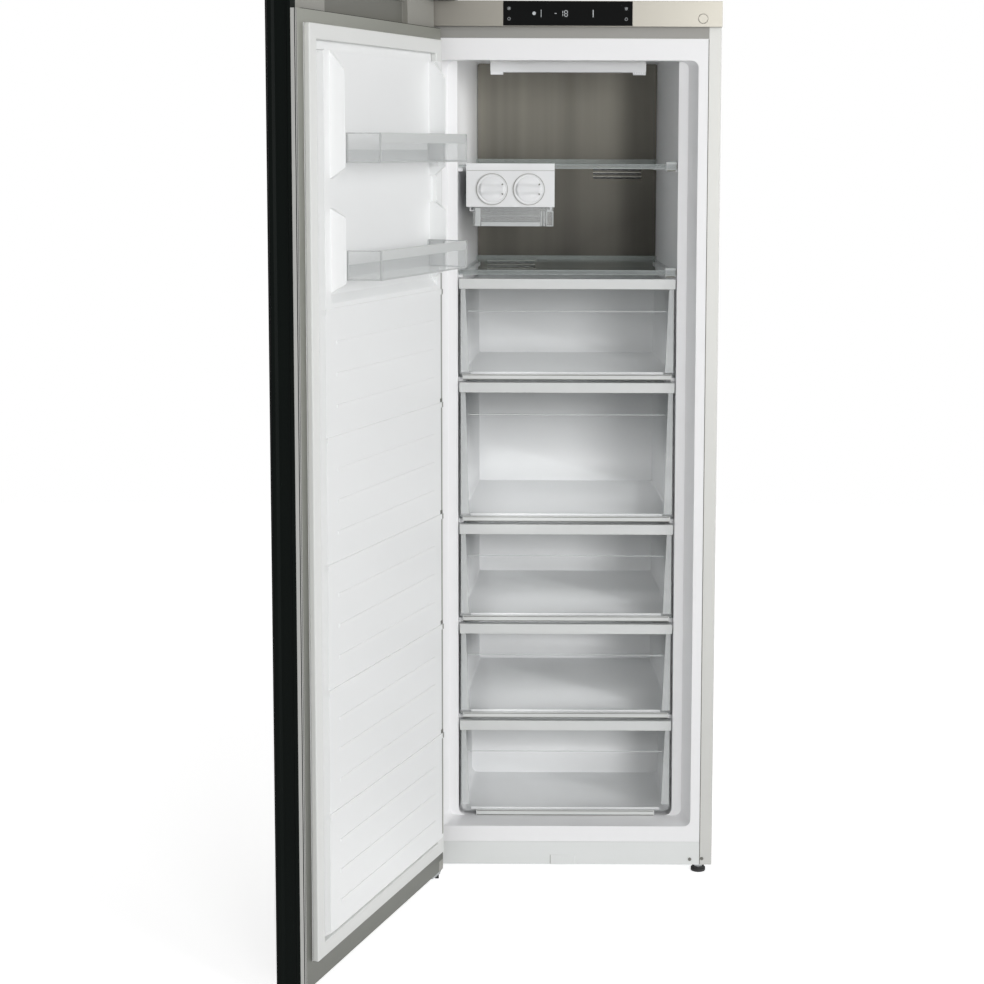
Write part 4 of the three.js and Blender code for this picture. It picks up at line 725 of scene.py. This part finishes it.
def ice_maker():
    """Housing with its seam as a grey line of painted shade, clear ice box with its ribs, and the
    two trays.
    """
    refine("ice_maker_housing", "trim", bevel=1.0, segments=3)
    low, high = span("ice_box")
    refine("ice_box", "clear_wall", bevel=0.6, extra=("edge",),
           pick=lambda middle, normal: 1 if middle.z < low.z + BOX_FLOOR else 0)
    ice_box_trim(low, high)
    low, high = span("ice_maker_housing")
    # Painted shade: a grey line in the seam under the housing's top.
    seam = [((low.x + 0.6, low.y - 0.15, high.z - SEAM_FOOT),
             (high.x - 0.6, low.y + 0.5, high.z - SEAM_TOP))]
    slabs("ice_plate_seam_shade", seam, "grey", body_of["ice_maker_housing"], "grey_trim", bevel=0.1)
    for side in ("left", "right"):
        ice_tray(side)


def ice_box_trim(low, high):
    """Ribs on the ice box's front, its grip at the right end, and a fine level line."""

    def rib(x0, x1, out, foot, tall):
        return (x0, low.y - out, low.z + foot), (x1, low.y + 2, low.z + foot + tall)

    left, right = low.x + BOX_LEFT, high.x - BOX_RIGHT
    ribs = [rib(low.x + 8, low.x + 18, out=0.6, foot=0.0, tall=36.0),
            rib(left, right, out=0.4, foot=0.0, tall=8.0)]
    for back, wide in BOX_POSTS:
        x = high.x - back
        ribs.append(rib(x, x + wide, out=0.8, foot=0.0, tall=30.0))
    for foot in GRIP_BARS:
        ribs.append(rib(high.x - GRIP_WIDE, high.x, out=0.8, foot=foot, tall=1.6))
    own_slabs("ice_box", "_ribs", ribs, "edge", bevel=0.4)
    line = [((left, low.y - 0.4, low.z + BOX_LINE_FOOT), (right, low.y + 1, low.z + BOX_LINE_TOP))]
    own_slabs("ice_box", "_line", line, "line", bevel=0.2)


KNOB = 30.6  # radius
KNOB_FACE = 5.5  # from the grip's front to the rim
KNOB_RINGS, KNOB_SPOKES = 26, 64
KNOB_DEEP = 2.4
# Two dark notches on the knob's front, painted shade in small recesses.
SHADE_NOTCH_U, SHADE_NOTCH_V = 0.66, 0.27
SHADE_NOTCH_BASE, SHADE_NOTCH_TIP_X, SHADE_NOTCH_LONG = 2.2, 1.4, 3.6

# The knob's front, in shares of its radius, with heights in millimetres.
RIM_FALL, RIM_FROM, RIM_WIDE = 1.2, 0.93, 0.07
BOWL_DEEP, BOWL_AT, BOWL_WIDE = 0.9, 0.86, 0.05
GRIP_TALL, GRIP_HALF, GRIP_FLARE, GRIP_SLOPE = 4.6, 0.17, 0.16, 0.045
GRIP_UNTIL, GRIP_FADE = 0.74, 0.12
SCOOP_DEEP, SCOOP_U, SCOOP_V, SCOOP_LONG, SCOOP_WIDE = 1.3, 0.5, 0.38, 0.3, 0.14


def knob_height(u, v):
    """Height of the knob's front over its rim, u along the grip and v across it."""
    radius = math.hypot(u, v)
    rim = -RIM_FALL * max(0.0, (radius - RIM_FROM) / RIM_WIDE) ** 2
    bowl = -BOWL_DEEP * math.exp(-((radius - BOWL_AT) / BOWL_WIDE) ** 2)
    width = GRIP_HALF + GRIP_FLARE * (1 - u) / 2
    grip = GRIP_TALL / (1 + math.exp((abs(v) - width) / GRIP_SLOPE))
    grip *= max(0.0, 1 - max(0.0, radius - GRIP_UNTIL) / GRIP_FADE)
    scoop = -SCOOP_DEEP * math.exp(-((u - SCOOP_U) / SCOOP_LONG) ** 2
                                   - ((abs(v) - SCOOP_V) / SCOOP_WIDE) ** 2)
    return rim + bowl + grip + scoop


def add_knob(bm, centre_x, face, centre_z):
    """Adds a knob's crowned front and its rim's side, open at the back."""
    grid = []
    for r in range(KNOB_RINGS + 1):
        reach = KNOB * r / KNOB_RINGS
        ring = []
        for k in range(KNOB_SPOKES if r else 1):
            turn = 2 * math.pi * k / KNOB_SPOKES
            u, v = reach * math.cos(turn) / KNOB, reach * math.sin(turn) / KNOB
            y = face - knob_height(u, v)
            ring.append(bm.verts.new((centre_x + u * KNOB, y, centre_z + v * KNOB)))
        grid.append(ring)
    grid.append([bm.verts.new((v.co.x, face + KNOB_DEEP, v.co.z)) for v in grid[-1]])
    for k in range(KNOB_SPOKES):
        bm.faces.new((grid[0][0], grid[1][(k + 1) % KNOB_SPOKES], grid[1][k]))
    for near, far in zip(grid[1:], grid[2:]):
        for k in range(KNOB_SPOKES):
            j = (k + 1) % KNOB_SPOKES
            bm.faces.new((near[k], near[j], far[j], far[k]))


def ice_tray(side):
    """Tray from the CAD solid, its knob newly shaped with a crowned grip, two dark notches and a
    dark ring round its rim, both painted shade.
    """
    node = f"ice_tray_{side}"
    body, slot = body_of[node], slot_of[node]
    low, high = span(node)
    face = low.y + KNOB_FACE
    heights = [p.z for p in mesh_points(node) if abs(p.y - face) < 0.2]
    centre_x, centre_z = (low.x + high.x) / 2, (max(heights) + min(heights)) / 2

    bm = cad_mesh(node)
    everything = bm.verts[:] + bm.edges[:] + bm.faces[:]
    bmesh.ops.bisect_plane(bm, geom=everything, plane_co=(0, face + 2.0, 0),
                           plane_no=(0, -1, 0), clear_outer=True)
    tray = finish_piece(node + "_pan", bm, ["trim"], body, slot, bevel=0.5)
    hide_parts(node)

    bm = bmesh.new()
    add_knob(bm, centre_x, face, centre_z)
    finish_piece(node + "_knob", bm, ["trim"], body, slot, smooth=50)

    # Painted shade: two dark notches beside the grip.
    bm = bmesh.new()
    for up in (-1, 1):
        x, z = centre_x + SHADE_NOTCH_U * KNOB, centre_z + up * SHADE_NOTCH_V * KNOB
        lift = face - knob_height(SHADE_NOTCH_U, up * SHADE_NOTCH_V)
        corners = [(x - SHADE_NOTCH_BASE, z), (x + SHADE_NOTCH_BASE, z),
                   (x + SHADE_NOTCH_TIP_X, z + up * SHADE_NOTCH_LONG)]
        add_wedge(bm, corners, lift - 0.25, lift + 0.6)
    finish_piece(node + "_shade_notches", bm, ["dark_grey"], body, "grey_trim")

    # Painted shade: a grey ring in the gap round the knob's rim.
    bm = bmesh.new()
    add_ring(bm, (centre_x, centre_z), KNOB + 0.1, KNOB + 0.8, face - 0.3, face + 2.0)
    finish_piece(node + "_ring", bm, ["grey"], body, "grey_trim")


# ------------------------------------------------------------------------------- the door

FREE_EDGE = 12.0  # width of the strip at the door's free edge that has the grooves
GROOVE_DEEP, GROOVE_SHALLOW = 1.7, 0.05  # depths between which a face lies in a groove
CAP_RIM, CAP_BACK = 9.0, 8.0
CREST_DROP = 23.0  # from the liner's innermost point to the crest of its raised edge
CREST_HALF = 247.4  # from the door's middle to the outer side of the crest
CREST_FOOT, CREST_TOP = 118.0, 1230.0
CREST_WIDE = 5.2
RIB_HEIGHTS = (1192.3, 973.7, 755.1, 536.5, 317.9)  # where the liner's ribs cross the crest
RIB_HALF, RIB_RISE = 5.0, 2.15
NUB_HEIGHTS = (982.5, 764.0, 545.5, 327.0)  # of the gasket's clips
NUB_WIDE, NUB_HALF, NUB_RISE = 9.5, 3.5, 0.6
BUSH_WIDE, BUSH_TALL = 20.0, 21.0
CAP_SEAM_DEEP, CAP_SEAM_SHORT = 12.0, 18.8


def frame_light_and_shade_faces(middle, normal):
    """Painted shade and light on the door's band: faces in the free edge's grooves take black, the
    rest of the free edge the lighter silver.
    """
    if middle.x < HALF_WIDTH - FREE_EDGE:
        return 0
    return 1 if HALF_WIDTH - GROOVE_DEEP < middle.x < HALF_WIDTH - GROOVE_SHALLOW else 2


def cap_shade_faces(middle, normal):
    """Painted shade: the cap's recessed middle takes the darker grey, its end blocks the lighter
    grey.
    """
    high = span("door_top_cap")[1]
    recessed_shade = middle.y < high.y - CAP_BACK and middle.z < high.z - CAP_RIM
    return 1 if normal.y > 0.9 and recessed_shade else 0


def door():
    """The door's own solids with rounded edges, its seam and edge lines of painted shade, lower
    nut and balconies.
    """
    refine("door_front_panel", "black", bevel=1.0, segments=3)
    refine("door_edge_profile", "black_edge", bevel=0.8)
    # Painted shade in the free edge's grooves, painted light on the rest of that edge.
    refine("door_frame", "band", bevel=0.4, pick=frame_light_and_shade_faces, extra=("black_edge", "silver"))
    refine("door_top_cap", "grey", bevel=0.8, extra=("dark_grey",), pick=cap_shade_faces)
    refine("door_liner", "door_white", bevel=2.2, segments=3)
    refine("door_gasket", "gasket", bevel=2.4, segments=3)
    door_seams()
    hinge_nut()
    for name in ("upper", "lower"):
        node = f"balcony_{name}"
        refine(node, "clear_wall", bevel=0.8, segments=3)
        balcony_trim(node)


def door_seams():
    """Dark seam over the silver band and grey line along the liner's edge, both painted shade;
    bush at the hinge corner; the liner's clips.
    """
    low, high = span("door_frame")
    inner = high.y
    # Painted shade: a black line where the cap meets the silver band.
    seam = [((low.x + 0.4, inner - CAP_SEAM_DEEP, high.z - 0.1),
             (high.x - CAP_SEAM_SHORT, inner - 1.0, high.z + 1.0))]
    slabs("cap_seam_shade", seam, "black_edge", "door", "black", bevel=0.1)
    bush = [((low.x + 0.3, inner - 10, low.z + 0.6),
             (low.x + BUSH_WIDE, inner + 0.5, low.z + BUSH_TALL))]
    slabs("hinge_bush", bush, "grey", "door", "grey_trim", bevel=0.8)

    # Painted shade: a grey strip along the hinge side of the liner's crest, bumped where the ribs
    # cross, stands in for the shadowed gap beside it.
    crest = span("door_liner")[1].y - CREST_DROP
    near, far = -CREST_HALF, CREST_WIDE - CREST_HALF
    line = [((near, crest - 1, CREST_FOOT), (far, crest + 0.15, CREST_TOP))]
    for z in RIB_HEIGHTS:
        line.append(((near - 0.8, crest + 0.5, z - RIB_HALF),
                     (far, crest + RIB_RISE, z + RIB_HALF)))
    slabs("liner_edge_shade", line, "grey", "door", "grey_trim", bevel=0.1)
    nubs = [((near, crest - 1, z - NUB_HALF),
             (NUB_WIDE - CREST_HALF, crest + NUB_RISE, z + NUB_HALF)) for z in NUB_HEIGHTS]
    slabs("gasket_clips", nubs, "dark_grey", "door", "grey_trim", bevel=0.3)


NUT_FOOT_RADIUS, NUT_TOP_RADIUS, NUT_TALL, NUT_DOWN = 6.0, 6.5, 7.0, 2.5
STOP_LOW, STOP_HIGH = (18.0, 1.0, -5.0), (26.0, 7.0, 1.0)  # from the pin, at the bracket's foot


def hinge_nut():
    """End of the lower hinge's pin and its stop, under the bracket."""
    foot = span("bottom_hinge_bracket")[0].z
    pin = (HINGE - ORIGIN) / MM
    bm = bmesh.new()
    bmesh.ops.create_cone(bm, cap_ends=True, segments=6, radius1=NUT_FOOT_RADIUS,
                          radius2=NUT_TOP_RADIUS, depth=NUT_TALL,
                          matrix=Matrix.Translation((pin.x, pin.y, foot - NUT_DOWN)))
    corners = [(pin.x + x, pin.y + y, foot + z) for x, y, z in (STOP_LOW, STOP_HIGH)]
    add_slab(bm, *corners)
    finish_piece("hinge_nut", bm, ["black_paint"], "cabinet", slot_of["bottom_hinge_bracket"],
                 bevel=0.5)


RIM_INSET = 1.0  # from a balcony's outer face to the middle of its rims
RIM_THICK = 2.3
RIM_POST = 1.5  # half of a post's width
FRONT_RAIL_INSET, FRONT_RAIL_TALL = 5.0, 17.0
FRONT_RAIL_BACK, FRONT_RAIL_FRONT = 5.3, 0.7
KNEE_MARGIN = 12.0  # the knee in a side wall lies further than this from the front and back


def balcony_trim(node):
    """Frosted front rail, and rims along the clear walls of a balcony."""
    low, high = span(node)
    points = mesh_points(node)
    front, half = high.y, max(p.x for p in points if p.y > high.y - 0.5)
    knee = max((p for p in points if low.y + KNEE_MARGIN < p.y < high.y - KNEE_MARGIN),
               key=lambda p: p.x)
    end = half - FRONT_RAIL_INSET
    rail = [((-end, front - FRONT_RAIL_BACK, high.z - FRONT_RAIL_TALL),
             (end, front - FRONT_RAIL_FRONT, high.z + 0.2))]
    own_slabs(node, "_rail", rail, "frosted", bevel=0.6)

    foot_rim, top_rim = (low.z + 0.2, low.z + 3.0), (high.z - 2.0, high.z - 0.1)
    bm = bmesh.new()
    for side in (-1, 1):
        plan = [(side * (high.x - RIM_INSET), low.y + RIM_INSET),
                (side * (knee.x - RIM_INSET), knee.y),
                (side * (half - RIM_INSET), front - RIM_INSET)]
        for start, end in zip(plan, plan[1:]):
            for rim in (foot_rim, top_rim):
                add_strip(bm, start, end, *rim, RIM_THICK)
        for x, y in plan:
            add_slab(bm, (x - RIM_POST, y - RIM_POST, low.z + 0.4),
                     (x + RIM_POST, y + 1.0, high.z - 0.3))
    add_strip(bm, (2 - half, front - RIM_INSET), (half - 2, front - RIM_INSET),
              *foot_rim, RIM_THICK)
    finish_piece(node + "_rims", bm, ["line"], body_of[node], slot_of[node], bevel=0.3)


# ---------------------------------------------------------------------- cooling and hidden

PLAIN = {
    "insulation_foam": "foam",
    "door_foam": "foam",
    "evaporator": "aluminium",
    "drain_trough": "trim",
    "fan_motor": "zinc",
    "evaporator_fan": "trim",
}


def works():
    """What shows in the machine bay is refined; what is hidden keeps its solid, in a new look."""
    refine("compressor", "black_paint", bevel=0.8, segments=3, smooth=40)
    refine("condenser", "black_paint", bevel=0.3, smooth=60)
    refine("drip_tray", "black_paint", bevel=0.8)
    refine("discharge_pipe", "copper", bevel=0.0, smooth=70)
    refine("suction_pipe", "copper", bevel=0.0, smooth=70)
    refine("filter_drier", "copper", bevel=0.0, smooth=50)
    refine("power_inlet", "black_paint", bevel=0.6)
    for node, look in PLAIN.items():
        piece = frame["nodes"][node]
        piece.data.materials.clear()
        piece.data.materials.append(LOOKS[look])


# ---------------------------------------------------------------------- room, light, camera

FLOOR_HALF, FLOOR_BACK = 6.0, 4.0  # metres
FLOOR_Z = -0.0005
FLOOR_GLOW = 0.72
WORLD_LIGHT = (0.24, 0.38)  # as light, from the far left to the far right


def seen_directly(nodes, link):
    """Socket that is 1 for rays from the camera, through glass and off glossy surfaces."""
    path = nodes.new("ShaderNodeLightPath")
    total = path.outputs["Is Camera Ray"]
    for kind in ("Is Glossy Ray", "Is Transmission Ray"):
        either = nodes.new("ShaderNodeMath")
        either.operation = "MAXIMUM"
        link(total, either.inputs[0])
        link(path.outputs[kind], either.inputs[1])
        total = either.outputs[0]
    return total


def stage_surface(name, colour, glow):
    """White surface that keeps shadows and shows as white to the camera and in gloss."""
    material = bpy.data.materials.new(name)
    material.use_nodes = True
    nodes = material.node_tree.nodes
    link = material.node_tree.links.new
    shader = nodes["Principled BSDF"]
    shader.inputs["Base Color"].default_value = [*colour, 1.0]
    shader.inputs["Roughness"].default_value = 0.9
    shader.inputs["Emission Color"].default_value = (1.0, 1.0, 1.0, 1.0)
    strength = nodes.new("ShaderNodeMath")
    strength.operation = "MULTIPLY"
    strength.inputs[1].default_value = glow
    link(seen_directly(nodes, link), strength.inputs[0])
    link(strength.outputs[0], shader.inputs["Emission Strength"])
    return material


def room():
    """A white floor just under the feet."""
    bm = bmesh.new()
    corners = [(-FLOOR_HALF, -FLOOR_HALF), (FLOOR_HALF, -FLOOR_HALF),
               (FLOOR_HALF, FLOOR_BACK), (-FLOOR_HALF, FLOOR_BACK)]
    bm.faces.new([bm.verts.new((x, y, FLOOR_Z)) for x, y in corners])
    mesh = bpy.data.meshes.new("floor")
    bm.to_mesh(mesh)
    bm.free()
    floor = bpy.data.objects.new("floor", mesh)
    bpy.context.scene.collection.objects.link(floor)
    mesh.materials.append(stage_surface("floor_white", srgb(240, 240, 240), FLOOR_GLOW))


def world():
    """White to the camera; as light, dimmer from the left and brighter from the right."""
    made = bpy.data.worlds.new("studio")
    made.use_nodes = True
    bpy.context.scene.world = made
    nodes = made.node_tree.nodes
    link = made.node_tree.links.new
    background = nodes["Background"]
    background.inputs["Color"].default_value = (1.0, 1.0, 1.0, 1.0)
    way = nodes.new("ShaderNodeTexCoord")
    parts = nodes.new("ShaderNodeSeparateXYZ")
    link(way.outputs["Generated"], parts.inputs["Vector"])
    level = nodes.new("ShaderNodeMapRange")
    level.inputs["From Min"].default_value = -1.0
    level.inputs["To Min"].default_value, level.inputs["To Max"].default_value = WORLD_LIGHT
    link(parts.outputs["X"], level.inputs["Value"])
    strength = nodes.new("ShaderNodeMix")
    strength.data_type = "FLOAT"
    link(seen_directly(nodes, link), strength.inputs[0])
    link(level.outputs["Result"], strength.inputs[2])
    strength.inputs[3].default_value = 1.0
    link(strength.outputs[0], background.inputs["Strength"])


def soft_light(name, place, target, size, watts):
    """White area lamp at a place in metres, turned to a target."""
    data = bpy.data.lights.new(name, "AREA")
    data.shape = "RECTANGLE"
    data.size, data.size_y = size
    data.energy = watts
    made = bpy.data.objects.new(name, data)
    bpy.context.scene.collection.objects.link(made)
    made.location = place
    made.rotation_euler = (Vector(target) - Vector(place)).to_track_quat("-Z", "Y").to_euler()
    return made


INNER_TURN = math.radians(8.0)  # to the left
OPEN_TURN = math.radians(32.0)
INNER_SPREAD = math.radians(90.0)
INNER_LEFT, INNER_RIGHT = -160.0, 140.0
DRAWER_LEVELS = (0.6, 0.9, 0.85, 0.85, 0.4)
DRAWER_DROP = 0.5  # how far a drawer's lamp looks down for each step back
DRAWER_IN, DRAWER_FOOT, DRAWER_TOP = 16.0, 30.0, 26.0  # a lamp's place in its drawer
OPEN_LEVELS = (0.5, 1.1)  # under and over the upper shelf
OPEN_IN, OPEN_FOOT, OPEN_TOP = 6.0, 20.0, 30.0
OPEN_LEFT = 30.0  # beside the ice maker


def inner_light(name, x0, x1, y, z0, z1, level, drop=0.0, turn=INNER_TURN):
    """Daylight scattered in one compartment, from its front to the back and a little left."""
    place = ORIGIN + Vector(((x0 + x1) / 2, y, (z0 + z1) / 2)) * MM
    size = ((x1 - x0) * MM, (z1 - z0) * MM)
    target = place + Vector((-math.sin(turn), math.cos(turn), -drop))
    lit = soft_light(name, place, target, size, level * math.pi * size[0] * size[1])
    lit.data.spread = INNER_SPREAD
    lit.visible_camera = False
    lit.visible_glossy = False


def inner_lights():
    """One lamp behind each drawer's pane, and one in each open compartment."""
    for i, level in enumerate(DRAWER_LEVELS, start=1):
        low, high = span(f"drawer_{i}")
        inner_light(f"drawer_light_{i}", INNER_LEFT, INNER_RIGHT, low.y + DRAWER_IN,
                    low.z + DRAWER_FOOT, high.z - DRAWER_TOP, level, DRAWER_DROP)
    low, high = span("shelf_lower")
    ceiling = span("light_cover")[0].z
    upper = span("shelf_upper")[1].z
    inner_light("open_light_low", OPEN_LEFT, high.x - 10, low.y + OPEN_IN,
                high.z + OPEN_FOOT, upper - OPEN_TOP, OPEN_LEVELS[0])
    inner_light("open_light_high", INNER_LEFT, INNER_RIGHT, low.y + OPEN_IN,
                upper + OPEN_FOOT, ceiling - 10, OPEN_LEVELS[1], turn=OPEN_TURN)


LIGHT_REACH = 9.0  # metres
AIM = Vector((0.0, 0.0, 0.95))


def far_light(name, turn, lift, size, level):
    """Square soft light, turned to the right of the front and lifted by degrees."""
    side, up = math.radians(turn), math.radians(lift)
    way = Vector((math.sin(side) * math.cos(up), -math.cos(side) * math.cos(up), math.sin(up)))
    soft_light(name, AIM + way * LIGHT_REACH, AIM, (size, size),
               level * math.pi * LIGHT_REACH ** 2)


def lights():
    """The world, two studio lamps and the scattered light inside."""
    world()
    far_light("key_light", turn=50.0, lift=14.0, size=3.4, level=1.0)
    far_light("front_light", turn=19.0, lift=5.0, size=2.4, level=0.85)
    inner_lights()


PHOTO = 984.0  # pixels, its width and height
SENSOR = 36.0
FOCAL = 1902.5  # pixels
CENTRE = (558.35, 345.8)  # pixels, where the lens's axis meets the picture
CAMERA_X, CAMERA_Y, CAMERA_Z = -17.4, -3733.9, 1471.4
TILT, ROLL = math.radians(6.0), math.radians(0.21)


def camera():
    """The photograph's camera: 3.73 m before the cabinet, 1.47 m high, tilted down a little."""
    data = bpy.data.cameras.new("camera")
    data.sensor_width = SENSOR
    data.lens = FOCAL / PHOTO * SENSOR
    data.shift_x = (PHOTO / 2 - CENTRE[0]) / PHOTO
    data.shift_y = (CENTRE[1] - PHOTO / 2) / PHOTO
    made = bpy.data.objects.new("camera", data)
    bpy.context.scene.collection.objects.link(made)
    place = ORIGIN + Vector((CAMERA_X, CAMERA_Y, CAMERA_Z)) * MM
    turn = Matrix.Rotation(math.pi / 2 - TILT, 4, "X") @ Matrix.Rotation(ROLL, 4, "Z")
    made.matrix_world = Matrix.Translation(place) @ turn
    bpy.context.scene.camera = made


# ---------------------------------------------------------------------------- put together

camera()
cabinet()
display_marks()
flange_and_plinth()
air_panel()
lamp()
drawers()
shelves()
ice_maker()
door()
works()
room()
lights()
bpy.context.scene.view_settings.view_transform = "Standard"
